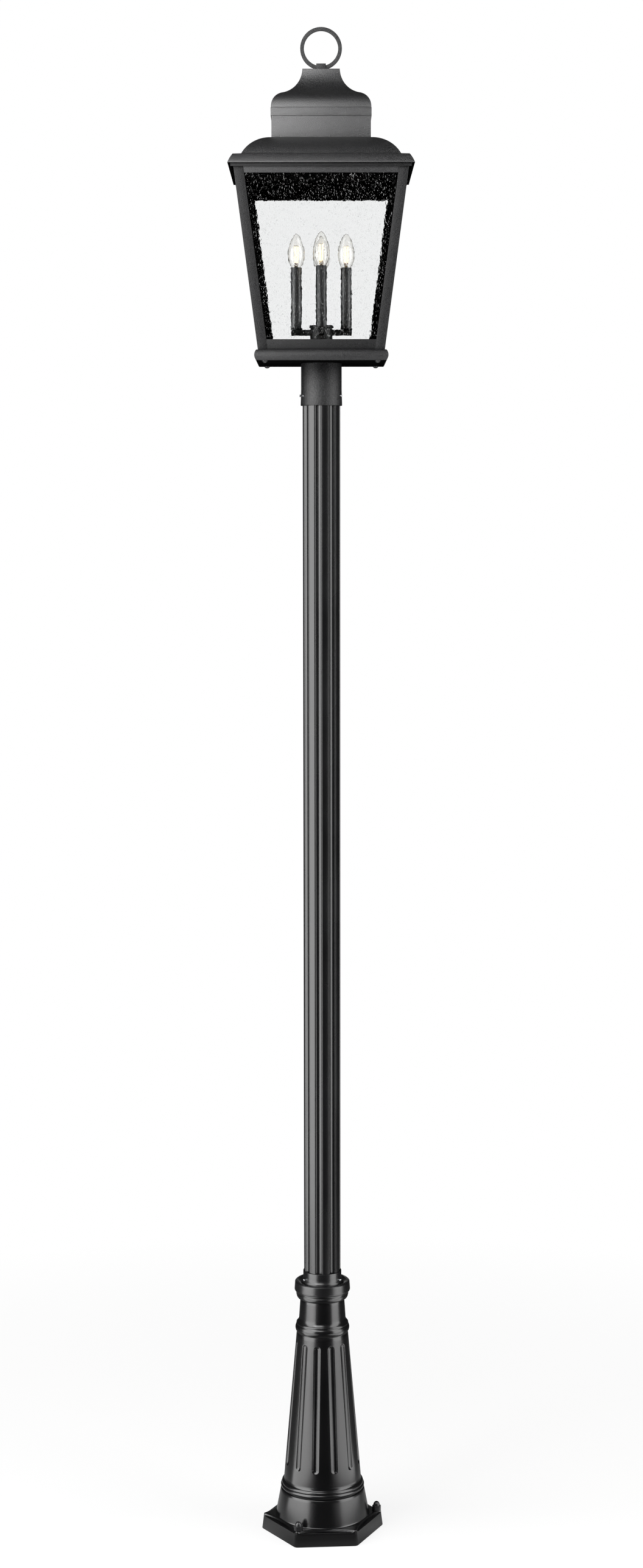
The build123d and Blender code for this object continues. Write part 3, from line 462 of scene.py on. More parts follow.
def softened(node, rounding, body, slot, finish_name, angle=32.0, segments=2, painted_shade_finish=None):
    """A copy of a CAD node, merged, with its sharp edges rounded off a little, and with painted shade on its
    down and inward faces when a shade finish is given.
    """
    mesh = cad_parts[node].data.copy()
    shell = bmesh.new()
    shell.from_mesh(mesh)
    bmesh.ops.remove_doubles(shell, verts=shell.verts, dist=2e-6)
    bmesh.ops.dissolve_limit(shell, angle_limit=math.radians(0.6), verts=shell.verts, edges=shell.edges)
    least = math.radians(angle)
    sharp = [edge for edge in shell.edges if len(edge.link_faces) == 2 and edge.calc_face_angle(0.0) > least]
    if rounding > 0.0 and sharp:
        bmesh.ops.bevel(
            shell, geom=sharp, offset=rounding, offset_type="OFFSET", segments=segments, profile=0.5,
            affect="EDGES", clamp_overlap=True,
        )
    shell.to_mesh(mesh)
    shell.free()
    shade(mesh, 40.0)
    mesh.name = node + "_soft"
    piece = new_piece(node + "_piece", mesh, body, slot, finish_name, node)
    # Painted shade: faces that point down, or inwards towards the middle, take the near-black shade finish.
    if painted_shade_finish:
        mesh.materials.append(material(painted_shade_finish))
        for face in mesh.polygons:
            inward = -face.normal.x * face.center.x - face.normal.y * face.center.y
            if face.normal.z < -0.85 or inward > 0.6 * face.center.xy.length:
                face.material_index = 1
    return piece


def repaint(nodes, finish_name):
    """CAD nodes that stay, with a better finish."""
    for node in nodes:
        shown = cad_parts[node]
        shown.data.materials.clear()
        shown.data.materials.append(material(finish_name))


def finished(shell, name, angle=None):
    """The mesh of a shell, with its faces turned outwards, and shaded where an angle is given."""
    bmesh.ops.recalc_face_normals(shell, faces=shell.faces)
    mesh = bpy.data.meshes.new(name)
    shell.to_mesh(mesh)
    shell.free()
    if angle:
        shade(mesh, angle)
    return mesh


def lathe(name, outline, centre=(0.0, 0.0), steps=48, closed=False):
    """A turned mesh from (radius, level) points, about a vertical axis at the centre."""
    shell = bmesh.new()
    rings = []
    for radius, level in outline:
        if radius < 1e-7:
            rings.append([shell.verts.new((centre[0], centre[1], level))])
            continue
        rings.append([
            shell.verts.new((
                centre[0] + radius * math.cos(2.0 * math.pi * step / steps),
                centre[1] + radius * math.sin(2.0 * math.pi * step / steps),
                level,
            ))
            for step in range(steps)
        ])
    pairs = list(zip(rings, rings[1:])) + ([(rings[-1], rings[0])] if closed else [])
    for low, high in pairs:
        for step in range(steps):
            following = (step + 1) % steps
            if len(low) == 1 and len(high) == 1:
                continue
            if len(low) == 1:
                shell.faces.new((low[0], high[following], high[step]))
            elif len(high) == 1:
                shell.faces.new((low[step], low[following], high[0]))
            else:
                shell.faces.new((low[step], low[following], high[following], high[step]))
    return finished(shell, name)


def joined(name, meshes):
    """One mesh from several."""
    shell = bmesh.new()
    for mesh in meshes:
        shell.from_mesh(mesh)
    whole = bpy.data.meshes.new(name)
    shell.to_mesh(whole)
    shell.free()
    return whole


def rod(name, points, radius, steps=8):
    """A round wire through points."""
    curve = bpy.data.curves.new(name, "CURVE")
    curve.dimensions = "3D"
    spline = curve.splines.new("POLY")
    spline.points.add(len(points) - 1)
    for point, place in zip(spline.points, points):
        point.co = (*place, 1.0)
    curve.bevel_depth = radius
    curve.bevel_resolution = max(0, steps // 4)
    curve.use_fill_caps = True
    holder = bpy.data.objects.new(name, curve)
    bpy.context.scene.collection.objects.link(holder)
    mesh = bpy.data.meshes.new_from_object(holder.evaluated_get(bpy.context.evaluated_depsgraph_get()))
    bpy.data.objects.remove(holder)
    bpy.data.curves.remove(curve)
    return mesh


# Geometry Nodes helpers


def new_tree(name, inputs):
    """A geometry tree with named inputs, its group input and its output."""
    tree = bpy.data.node_groups.new(name, "GeometryNodeTree")
    tree.interface.new_socket("Geometry", in_out="INPUT", socket_type="NodeSocketGeometry")
    for label, kind, value in inputs:
        socket = tree.interface.new_socket(label, in_out="INPUT", socket_type=kind)
        if value is not None:
            socket.default_value = value
    tree.interface.new_socket("Geometry", in_out="OUTPUT", socket_type="NodeSocketGeometry")
    entry = tree.nodes.new("NodeGroupInput")
    return tree, entry.outputs


def close_tree(tree, geometry, finish_name):
    """Sends the geometry out of the tree as real, finished faces."""
    real = add_node(tree, "GeometryNodeRealizeInstances", {"Geometry": geometry})
    painted = add_node(tree, "GeometryNodeSetMaterial", {
        "Geometry": real.outputs[0], "Material": material(finish_name),
    })
    add_node(tree, "NodeGroupOutput", {"Geometry": painted.outputs[0]})


def grown(name, start, tree, values):
    """The mesh that a tree makes from a start mesh."""
    holder = bpy.data.objects.new(name + "_grow", start)
    bpy.context.scene.collection.objects.link(holder)
    grow = holder.modifiers.new("Grow", "NODES")
    grow.node_group = tree
    by_label = {item.name: item.identifier for item in tree.interface.items_tree if item.in_out == "INPUT"}
    for label, value in values.items():
        grow[by_label[label]] = value
    mesh = bpy.data.meshes.new_from_object(holder.evaluated_get(bpy.context.evaluated_depsgraph_get()))
    mesh.name = name
    holder.modifiers.remove(grow)
    bpy.data.objects.remove(holder)
    return mesh


def calc(tree, operation, *values, **settings):
    """One step of arithmetic."""
    made = add_node(tree, "ShaderNodeMath", dict(enumerate(values)), operation=operation, **settings)
    return made.outputs[0]


# Lantern


def cage_half(level):
    """Half the cage's width over its outer faces at a level."""
    low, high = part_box("corner_stile_front_left")
    top, bottom = high.z, low.z
    wide = -low.x
    narrow = sizes().cage_foot_half
    return narrow + (wide - narrow) * (level - bottom) / (top - bottom)


class POSTLIGHT_OT_cage(bpy.types.Operator):
    """Cage of corner stiles and rails, with the ceiling tray over it."""

    bl_idname = "post_light.cage"
    bl_label = "Cage"

    def execute(self, context):
        stiles = [(f"corner_stile_{corner}", "stile_shaded_coat", None) for corner in CORNERS]
        # The top rails and the ceiling tray take painted shade on their down and inward faces.
        for node, coat, painted_shade_finish in stiles + [
            ("top_rails", "lantern_coat", "painted_shade_black"),
            ("bottom_rails", "rail_shaded_coat", None),
            ("ceiling_tray", "rail_shaded_coat", "painted_shade_black"),
        ]:
            softened(node, sizes().sheet_round, "cage", "lantern_black", coat, painted_shade_finish=painted_shade_finish)
        repaint(("glass_clips", "corner_brackets"), "lantern_coat")
        repaint(("roof_screws", "tie_rod", "tie_rod_nut"), "plain_steel")
        return {"FINISHED"}


class POSTLIGHT_OT_roof(bpy.types.Operator):
    """Roof shell, chimney box and ogee cap, with the ring in its saddle."""

    bl_idname = "post_light.roof"
    bl_label = "Roof"

    def execute(self, context):
        # The roof shell takes painted shade on its down and inward faces.
        softened("roof_shell", 0.0006, "cage", "lantern_black", "roof_coat", painted_shade_finish="painted_shade_black")
        for node, rounding, coat in (
            ("chimney_box", 0.0006, "roof_coat"),
            ("chimney_cap", 0.0012, "roof_coat"),
            ("ring_saddle", 0.0004, "lantern_coat"),
            ("finial_ring", 0.0, "lantern_coat"),
        ):
            softened(node, rounding, "cage", "lantern_black", coat)
        return {"FINISHED"}


class POSTLIGHT_OT_pan(bpy.types.Operator):
    """Pan under the lantern, with its screws."""

    bl_idname = "post_light.pan"
    bl_label = "Pan"

    def execute(self, context):
        # The pan takes painted shade on its down and inward faces.
        softened("lantern_pan", 0.0006, "post", "lantern_black", "pan_shaded_coat", painted_shade_finish="painted_shade_black")
        repaint(("pan_screws",), "nut_black")
        return {"FINISHED"}


def pane_mesh(side, quarter):
    """A wavy pane, closed all round, on the place of the CAD pane."""
    low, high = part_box("glass_pane_front")
    bottom, top = low.z, high.z
    inset = 0.010
    outer, thickness = 0.0015, 0.003
    columns, rows = 84, 88
    height = sizes().glass_wave
    shell = bmesh.new()
    layers = []
    for layer, depth in enumerate((outer, outer + thickness)):
        grid = []
        for row in range(rows + 1):
            level = bottom + (top - bottom) * row / rows
            half = cage_half(level)
            line = []
            for column in range(columns + 1):
                across = (half - inset) * (2.0 * column / columns - 1.0)
                edge = row in (0, rows) or column in (0, columns)
                wave = 0.0 if edge else height * (
                    noise.noise(Vector((across * 46.0, level * 30.0, 7.3 * quarter + 3.1 * layer)))
                    + 0.5 * noise.noise(Vector((across * 110.0, level * 60.0, 11.9 * quarter + 5.7 * layer)))
                )
                place = Vector((across, -half + depth + wave, level))
                line.append(shell.verts.new(quarter_turn(place, quarter)))
            grid.append(line)
        layers.append(grid)
    for layer, grid in enumerate(layers):
        for row in range(rows):
            for column in range(columns):
                this, above = grid[row], grid[row + 1]
                corners = (this[column], this[column + 1], above[column + 1], above[column])
                shell.faces.new(corners if layer == 0 else tuple(reversed(corners)))
    rim = (
        [(0, column) for column in range(columns)]
        + [(row, columns) for row in range(rows)]
        + [(rows, column) for column in range(columns, 0, -1)]
        + [(row, 0) for row in range(rows, 0, -1)]
    )
    for (row, column), (next_row, next_column) in zip(rim, rim[1:] + rim[:1]):
        shell.faces.new((
            layers[0][next_row][next_column], layers[0][row][column],
            layers[1][row][column], layers[1][next_row][next_column],
        ))
    mesh = finished(shell, f"pane_{side}")
    outer_faces = (rows + 1) * (columns + 1)
    rippled = mesh.attributes.new("rippled", "FLOAT", "POINT")
    rippled.data.foreach_set("value", [1.0] * outer_faces + [0.0] * (len(mesh.vertices) - outer_faces))
    shade(mesh, 50.0)
    return mesh


def quarter_turn(place, quarter):
    """The place turned about the post by a number of quarter turns, towards +X first."""
    for _ in range(quarter):
        place = Vector((-place.y, place.x, place.z))
    return place


def seed_tree():
    """A tree that scatters long glass seeds over a surface."""
    tree, entry = new_tree("glass_seeds", (
        ("Density", "NodeSocketFloat", 15000.0),
        ("Half Width", "NodeSocketFloat", 0.0006),
        ("Half Length", "NodeSocketFloat", 0.0018),
        ("Seed", "NodeSocketInt", 1),
    ))
    step = partial(calc, tree)
    spread = add_node(tree, "GeometryNodeDistributePointsOnFaces", {
        "Mesh": entry["Geometry"], "Density": entry["Density"], "Seed": entry["Seed"],
    })
    bead = add_node(tree, "GeometryNodeMeshIcoSphere", {"Radius": 1.0, "Subdivisions": 1})
    smooth = add_node(tree, "GeometryNodeSetShadeSmooth", {"Geometry": bead.outputs[0]})
    share = add_node(tree, "FunctionNodeRandomValue", {
        2: 0.0, 3: 1.0, "Seed": entry["Seed"],
    }, data_type="FLOAT")
    stretch = add_node(tree, "FunctionNodeRandomValue", {2: 0.45, 3: 1.0, "Seed": 17}, data_type="FLOAT")
    small = step("POWER", share.outputs[1], 2.2)
    size = step("MULTIPLY_ADD", small, 0.72, 0.28)
    width = step("MULTIPLY", size, entry["Half Width"])
    length = step("MULTIPLY", step("MULTIPLY", size, entry["Half Length"]), stretch.outputs[1])
    scale = add_node(tree, "ShaderNodeCombineXYZ", {
        "X": width, "Y": step("MULTIPLY", width, 0.5), "Z": length,
    })
    placed = add_node(tree, "GeometryNodeInstanceOnPoints", {
        "Points": spread.outputs[0], "Instance": smooth.outputs[0], "Scale": scale.outputs[0],
    })
    close_tree(tree, placed.outputs[0], "seed_glass")
    return tree


def seed_field(quarter):
    """The part of a pane's outer face that shows, as a start for its seeds."""
    low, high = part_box("glass_pane_front")
    stile_cover, foot_cover, head_cover, inside_glass = 0.021, 0.021, 0.011, 0.0030
    bottom, top = low.z + foot_cover, high.z - head_cover
    corners = []
    for level, sign in ((bottom, -1.0), (bottom, 1.0), (top, 1.0), (top, -1.0)):
        half = cage_half(level)
        place = Vector((sign * (half - stile_cover), -half + inside_glass, level))
        corners.append(tuple(quarter_turn(place, quarter)))
    mesh = bpy.data.meshes.new("seed_field")
    mesh.from_pydata(corners, [], [(0, 1, 2, 3)])
    return mesh


def strip_mesh(quarter):
    """The bent sheet strip that holds one pane from the inside, down both sides and along the top."""
    low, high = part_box("glass_pane_front")
    size = sizes()
    bottom, top = low.z + 0.001, high.z - 0.0005
    near = 0.0049
    far = near + size.strip_sheet
    hidden, inner = 0.0165, size.strip_inset
    under = top - size.strip_drop
    shell = bmesh.new()
    rings = []
    for depth in (near, far):
        ring = []
        for level, sign, inset in (
            (bottom, -1.0, hidden), (top, -1.0, hidden), (top, 1.0, hidden), (bottom, 1.0, hidden),
            (bottom, 1.0, inner), (under, 1.0, inner), (under, -1.0, inner), (bottom, -1.0, inner),
        ):
            half = cage_half(level)
            place = Vector((sign * (half - inset), -half + depth, level))
            ring.append(shell.verts.new(quarter_turn(place, quarter)))
        rings.append(ring)
    outer, inside = rings
    for first, second, third, fourth in ((0, 1, 6, 7), (1, 2, 5, 6), (2, 3, 4, 5)):
        shell.faces.new((outer[first], outer[second], outer[third], outer[fourth]))
        shell.faces.new((inside[fourth], inside[third], inside[second], inside[first]))
    for step in range(8):
        following = (step + 1) % 8
        shell.faces.new((outer[following], outer[step], inside[step], inside[following]))
    return finished(shell, "glazing_strip")


class POSTLIGHT_OT_panes(bpy.types.Operator):
    """Panes of wavy glass with long seeds in them."""

    bl_idname = "post_light.panes"
    bl_label = "Panes"

    def execute(self, context):
        tree = seed_tree()
        for quarter, side in enumerate(SIDES):
            pane = pane_mesh(side, quarter)
            new_piece(f"pane_{side}", pane, "cage", "seedy_glass", "seeded_glass", f"glass_pane_{side}")
            seeds = grown(f"seeds_{side}", seed_field(quarter), tree, {
                "Density": sizes().seed_density, "Half Width": sizes().seed_width,
                "Half Length": sizes().seed_length, "Seed": 31 + quarter,
            })
            new_piece(f"seeds_{side}", seeds, "cage", "seedy_glass", None)
            # The glazing strips are wholly in the near-black painted shade.
            new_piece(f"glazing_strip_{side}", strip_mesh(quarter), "cage", "lantern_black", "painted_shade_black")
        return {"FINISHED"}


# Candles and bulbs


class POSTLIGHT_OT_candles(bpy.types.Operator):
    """Hub, arms, cups and sleeves of the candle cluster, with the sockets in them."""

    bl_idname = "post_light.candles"
    bl_label = "Candles"

    def execute(self, context):
        for node, rounding in (("hub_body", 0.0003), ("hub_cap", 0.0), ("candle_cups", 0.0003)):
            softened(node, rounding, "post", "cluster_black", "hub_shaded_paint")
        for side in SIDES:
            softened(f"arm_{side}", 0.0004, "post", "cluster_black", "hub_shaded_paint")
            softened(f"candle_sleeve_{side}", 0.0002, "post", "cluster_black", "candle_paint")
        repaint([f"socket_{side}" for side in SIDES], "socket_black")
        repaint(("cluster_nipple", "nipple_nuts"), "plain_steel")
        return {"FINISHED"}


def bulb_outline(bottom, wall):
    """(radius, level) points of a bulb's glass, from the neck up to the tip."""
    neck, widest = 0.0066 - wall, 0.0168 - wall
    waist, length = 0.027, 0.070 - 1.4 * wall
    points = []
    for step in range(12):
        share = step / 12.0
        away = 1.0 - share
        points.append((
            neck * away * away + 2.0 * widest * share * away + widest * share * share,
            bottom + 2.0 * 0.43 * waist * share * away + waist * share * share,
        ))
    shoulder = waist + 0.50 * (length - waist)
    for step in range(29):
        share = step / 28.0
        away = 1.0 - share
        points.append((
            widest * away ** 3 + 3.0 * widest * share * away ** 2 + 3.0 * 0.36 * widest * share ** 2 * away,
            bottom + waist * away ** 3 + 3.0 * shoulder * share * away ** 2
            + 3.0 * length * share ** 2 * away + length * share ** 3,
        ))
    return points


class POSTLIGHT_OT_bulbs(bpy.types.Operator):
    """Candle bulbs: torpedo glass, screw base, glass stem and lit filaments."""

    bl_idname = "post_light.bulbs"
    bl_label = "Bulbs"

    def execute(self, context):
        for quarter, side in enumerate(SIDES):
            low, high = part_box(f"bulb_glass_{side}")
            x, y, bottom = (low.x + high.x) / 2.0, (low.y + high.y) / 2.0, low.z
            outer = bulb_outline(bottom, 0.0)
            inner = bulb_outline(bottom + 0.0003, 0.0005)
            glass = lathe(f"bulb_{side}", outer + inner[::-1], (x, y), 48, closed=True)
            shade(glass, 60.0)
            body = f"bulb_{side}"
            new_piece(f"bulb_{side}_glass", glass, body, "bulb_glass", "bulb_glass", f"bulb_glass_{side}")
            repaint((f"bulb_screw_{side}",), "nickel")
            self.filaments(side, body, x, y, bottom)
        return {"FINISHED"}

    def filaments(self, side, body, x, y, bottom):
        """Stem, lead wires and four lit rods."""
        foot, top = bottom + 0.0125, bottom + 0.0445
        near_circle, far_circle, lit, wire, crumpled = 0.0036, 0.0041, 0.00095, 0.0003, 0.00045
        turn = {"front": 28, "right": 20, "back": 62, "left": 25}[side]
        rods, wires, hooks = [], [], []
        for step in range(4):
            angle = math.radians(turn + 90 * step)
            across, along = math.cos(angle), math.sin(angle)
            near = (x + near_circle * across, y + near_circle * along)
            far = (x + far_circle * across, y + far_circle * along)
            rods.append(rod("lit", [(*near, foot), (*far, top)], lit, 12))
            wires.append(rod("lead", [
                (x + 0.0012 * across, y + 0.0012 * along, bottom + 0.0085),
                (x + 0.0030 * across, y + 0.0030 * along, bottom + 0.0105),
                (*near, foot + 0.0006),
            ], wire, 6))
            wires.append(rod("crumpled", [
                (x + 0.0040 * math.cos(angle + 0.9 * bend), y + 0.0040 * math.sin(angle + 0.9 * bend),
                 bottom + 0.0022 + 0.0021 * bend + 0.0009 * ((bend + step) % 2))
                for bend in range(5)
            ], crumpled, 6))
            hooks.append(rod("hook", [
                (*far, top - 0.0006), (*far, top + 0.0012),
                (x + 0.0032 * across, y + 0.0032 * along, top + 0.0020),
                (x + 0.0020 * across, y + 0.0020 * along, top + 0.0012),
            ], wire, 6))
        new_piece(
            f"bulb_{side}_filaments", joined("filaments", rods), body, "filament_glow", "filament",
            f"bulb_filament_{side}",
        )
        new_piece(f"bulb_{side}_hooks", joined("hooks", hooks), body, "bulb_base", "nickel")
        new_piece(f"bulb_{side}_wires", joined("wires", wires), body, "bulb_base", "copper")
        stem = lathe("stem", [
            (0.0, bottom - 0.0002), (0.0046, bottom + 0.0002), (0.0040, bottom + 0.0030),
            (0.0024, bottom + 0.0055), (0.0021, bottom + 0.0080), (0.0014, bottom + 0.0092),
            (0.0, bottom + 0.0095),
        ], (x, y), 24)
        shade(stem, 60.0)
        new_piece(f"bulb_{side}_stem", stem, body, "bulb_glass", "bulb_glass")


# Post and pedestal


def grooved_tube_tree():
    """A tree that makes a round tube with rounded grooves along it."""
    tree, entry = new_tree("grooved_tube", (
        ("Radius", "NodeSocketFloat", 0.0381),
        ("Bore Radius", "NodeSocketFloat", 0.0328),
        ("Bottom", "NodeSocketFloat", 0.43),
        ("Top", "NodeSocketFloat", 2.438),
        ("Grooves", "NodeSocketInt", 8),
        ("Groove Width", "NodeSocketFloat", 0.0145),
        ("Groove Depth", "NodeSocketFloat", 0.0018),
        ("Groove Turn", "NodeSocketFloat", 0.0),
        ("Edge", "NodeSocketFloat", 0.0004),
        ("Crease Width", "NodeSocketFloat", 0.0010),
        ("Crease Depth", "NodeSocketFloat", 0.0010),
        ("Steps", "NodeSocketInt", 1152),
    ))
    step = partial(calc, tree)
    rows = 5
    grid = add_node(tree, "GeometryNodeMeshGrid", {
        "Vertices X": step("ADD", entry["Steps"], 1.0), "Vertices Y": rows,
    })
    index = add_node(tree, "GeometryNodeInputIndex").outputs[0]
    row = step("MODULO", index, float(rows))
    column = step("FLOOR", step("DIVIDE", step("ADD", index, 0.5), float(rows)))
    angle = step("DIVIDE", step("MULTIPLY", column, 2.0 * math.pi), entry["Steps"])
    pitch = step("DIVIDE", 2.0 * math.pi, entry["Grooves"])
    away = step("SUBTRACT", angle, entry["Groove Turn"])
    local = step("WRAP", away, step("MULTIPLY", pitch, 0.5), step("MULTIPLY", pitch, -0.5))
    width, depth = entry["Groove Width"], entry["Groove Depth"]
    quarter = step("MULTIPLY", step("MULTIPLY", width, width), 0.25)
    squares = step("ADD", quarter, step("MULTIPLY", depth, depth))
    bend = step("DIVIDE", squares, step("MULTIPLY", depth, 2.0))
    centre = step("ADD", step("SUBTRACT", entry["Radius"], depth), bend)
    side = step("MULTIPLY", centre, step("SINE", local))
    left = step("SUBTRACT", step("MULTIPLY", bend, bend), step("MULTIPLY", side, side))
    chord = step("SQRT", step("MAXIMUM", left, 0.0))
    floor = step("SUBTRACT", step("MULTIPLY", centre, step("COSINE", local)), chord)
    rounded = step("SMOOTH_MIN", entry["Radius"], floor, entry["Edge"])
    around = step("MULTIPLY", step("ABSOLUTE", local), entry["Radius"])
    off_edge = step("ABSOLUTE", step("SUBTRACT", around, step("MULTIPLY", width, 0.5)))
    crease = step("SUBTRACT", 1.0, step("DIVIDE", off_edge, entry["Crease Width"]), use_clamp=True)
    outer = step("SUBTRACT", rounded, step("MULTIPLY", crease, entry["Crease Depth"]))
    is_outer = step("COMPARE", row, 1.5, 0.6)
    radius = add_node(tree, "GeometryNodeSwitch", {
        "Switch": is_outer, "False": entry["Bore Radius"], "True": outer,
    }, input_type="FLOAT").outputs[0]
    is_top = step("COMPARE", row, 2.5, 0.6)
    level = add_node(tree, "GeometryNodeSwitch", {
        "Switch": is_top, "False": entry["Bottom"], "True": entry["Top"],
    }, input_type="FLOAT").outputs[0]
    place = add_node(tree, "ShaderNodeCombineXYZ", {
        "X": step("MULTIPLY", radius, step("COSINE", angle)),
        "Y": step("MULTIPLY", radius, step("SINE", angle)),
        "Z": level,
    })
    shaped = add_node(tree, "GeometryNodeSetPosition", {
        "Geometry": grid.outputs["Mesh"], "Position": place.outputs[0],
    })
    closed = add_node(tree, "GeometryNodeMergeByDistance", {
        "Geometry": shaped.outputs[0], "Distance": 0.00001,
    })
    close_tree(tree, closed.outputs[0], "post_paint")
    return tree


class POSTLIGHT_OT_post(bpy.types.Operator):
    """Grooved post with the fitter sleeve over its top and the collar round its foot."""

    bl_idname = "post_light.post"
    bl_label = "Post"

    def execute(self, context):
        low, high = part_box("post_tube")
        tube = grown("tube", bpy.data.meshes.new("tube_start"), grooved_tube_tree(), {
            "Radius": high.x, "Bottom": low.z, "Top": high.z, "Grooves": sizes().groove_count,
            "Groove Width": sizes().groove_width, "Groove Depth": sizes().groove_depth,
            "Groove Turn": sizes().groove_turn - math.pi / 2.0,
        })
        outward(tube)
        shade(tube, 50.0)
        new_piece("grooved_post", tube, "post", "post_black", None, "post_tube")
        softened("fitter_sleeve", 0.0004, "post", "post_black", "fitter_coat")
        softened("post_collar", 0.0004, "post", "post_black", "post_paint")
        repaint(("collar_set_screws", "fitter_set_screws"), "bright_steel")
        return {"FINISHED"}


def outward(mesh):
    """Turns a closed mesh's faces outwards."""
    shell = bmesh.new()
    shell.from_mesh(mesh)
    bmesh.ops.remove_doubles(shell, verts=shell.verts, dist=1e-6)
    bmesh.ops.recalc_face_normals(shell, faces=shell.faces)
    shell.to_mesh(mesh)
    shell.free()


def arc(start, end, bulge, steps):
    """Points from start up to end, along an arc that stands out by its bulge."""
    run, rise = end[0] - start[0], end[1] - start[1]
    length = math.hypot(run, rise)
    points = []
    for step in range(steps + 1):
        share = step / steps
        out = 4.0 * bulge * share * (1.0 - share)
        points.append((
            start[0] + run * share + out * rise / length,
            start[1] + rise * share - out * run / length,
        ))
    return points


def shaft_outline(seam):
    """(radius, level) points in millimetres of the pedestal, from the seam over its foot to its top."""
    foot = [(99.6, seam), (98.7, 33.6), (98.2, 34.6), (97.9, 36.0)] + [
        (97.9 - 9.8 * step / 10.0, 36.0 + 52.4 * step / 10.0) for step in range(1, 11)
    ] + [(87.7, 89.1), (87.0, 89.5)]
    lower_rolls = (
        [(85.2, 89.8), (85.2, 90.8), (86.4, 91.2)]
        + arc((87.0, 91.6), (86.6, 99.3), 1.3, 8)[1:]
        + [(85.9, 99.9)]
        + arc((86.0, 100.4), (83.3, 106.6), 0.9, 8)[1:]
        + [(82.2, 107.4)]
    )
    taper = [(81.5 - 27.2 * step / 52.0, 108.6 + 316.0 * step / 52.0) for step in range(53)]
    upper_rolls = (
        [(53.9, 425.8), (53.4, 427.0), (53.6, 428.2)]
        + arc((54.1, 429.0), (55.0, 444.0), 2.2, 12)[1:]
        + [(54.2, 444.6), (54.0, 445.2)]
        + arc((54.3, 445.8), (53.5, 449.6), 0.6, 5)[1:]
        + [(52.8, 450.2)]
        + arc((52.4, 451.0), (48.9, 458.5), -0.8, 6)[1:]
    )
    neck = [(48.9 - 2.6 * step / 8.0, 458.5 + 39.6 * step / 8.0) for step in range(1, 9)]
    ring = [(46.0, 499.0), (47.0, 499.4)] + arc((47.6, 499.6), (54.2, 507.8), 1.7, 8)[1:] + [
        (54.6, 509.4), (54.7, 510.6), (54.2, 511.2), (54.2, 512.2), (54.7, 512.8), (54.7, 516.5),
    ]
    return foot + lower_rolls + taper + upper_rolls + neck + ring


def flute_cut(across, level, size):
    """Depth in millimetres of a ball-ended flute at a place on the taper, with a soft edge."""
    half, depth = size.flute_width * 500.0, size.flute_depth * 1000.0
    bend = (half * half + depth * depth) / (2.0 * depth)
    low, high = FLUTE_ENDS[0] + half, FLUTE_ENDS[1] - half
    beyond = max(low - level, level - high, 0.0)
    away = math.hypot(across, beyond)
    cut = math.sqrt(max(bend * bend - away * away, 0.0)) - (bend - depth)
    soft = 0.45
    return 0.5 * (cut + math.hypot(cut, soft)) - 0.5 * soft * math.exp(-max(-cut, 0.0)) if cut > -4.0 else 0.0


def shaft_mesh(seam):
    """The pedestal over its foot: turned rolls and rings, and a taper with flutes."""
    size = sizes()
    turn = math.radians(PLATE_TURN + 15.0 - 90.0)
    zone = size.flute_width * 500.0 + 1.4
    in_flute, on_land = 22, 14
    outline = []
    for first, second in zip(shaft_outline(seam), shaft_outline(seam)[1:]):
        outline.append(first)
        middle = (first[1] + second[1]) / 2.0
        near_foot = -3.0 < middle - FLUTE_ENDS[0] < 10.0
        near_head = -9.0 < middle - FLUTE_ENDS[1] < 3.0
        pieces = 7 if (near_foot or near_head) and second[1] - first[1] > 4.0 else 1
        for piece in range(1, pieces):
            share = piece / pieces
            outline.append(tuple(low + (high - low) * share for low, high in zip(first, second)))
    outline.append(shaft_outline(seam)[-1])
    bore = [
        (38.4, 516.5), (38.4, 429.5), (34.6, 429.5), (34.6, 419.5),
        (47.0, 412.0), (74.0, 110.0), (PEDESTAL_BORE, seam),
    ]
    shell = bmesh.new()
    rings = []
    for radius, level in outline + bore:
        ring = []
        inside = len(rings) >= len(outline)
        zone_angle = zone / radius
        pitch = 2.0 * math.pi / size.flute_count
        for flute in range(size.flute_count):
            for step in range(in_flute + on_land):
                if step < in_flute:
                    local = zone_angle * (2.0 * step / in_flute - 1.0)
                else:
                    local = zone_angle + (pitch - 2.0 * zone_angle) * (step - in_flute) / on_land
                cut = 0.0
                if not inside and step < in_flute and FLUTE_ENDS[0] - 7.0 < level < FLUTE_ENDS[1] + 7.0:
                    cut = flute_cut(radius * local, level, size)
                angle = turn + flute * pitch + local
                reach = (radius - cut) * MM
                ring.append(shell.verts.new((reach * math.cos(angle), reach * math.sin(angle), level * MM)))
        rings.append(ring)
    for low, high in zip(rings, rings[1:] + rings[:1]):
        for step in range(len(low)):
            following = (step + 1) % len(low)
            shell.faces.new((low[step], low[following], high[following], high[step]))
    return finished(shell, "shaft", 42.0)


def hexagon_radius(off_flat, flat, corner):
    """Distance from the middle to a rounded hexagon's edge, at an angle from the middle of a side."""
    centre = (flat - corner) / math.cos(math.pi / 6.0)
    straight = math.atan((flat - corner) * math.tan(math.pi / 6.0) / flat)
    if abs(off_flat) <= straight:
        return flat / math.cos(off_flat)
    aside = math.pi / 6.0 - abs(off_flat)
    return centre * math.cos(aside) + math.sqrt(max(corner ** 2 - (centre * math.sin(aside)) ** 2, 0.0))


def plate_level(x, y):
    """Level of the plate's top in millimetres, with its side's crescent ledge, for a side that faces +X."""
    deep = 192.5 - math.hypot(x - 291.0, y)
    lip = 2.4
    if deep <= -lip:
        return 33.0
    if deep <= 0.0:
        return 33.0 - (lip - math.sqrt(max(lip * lip - (deep + lip) ** 2, 0.0)))
    return 33.0 - lip - 1.8 * min(deep / 1.2, 1.0) - 0.06 * max(deep - 1.2, 0.0)


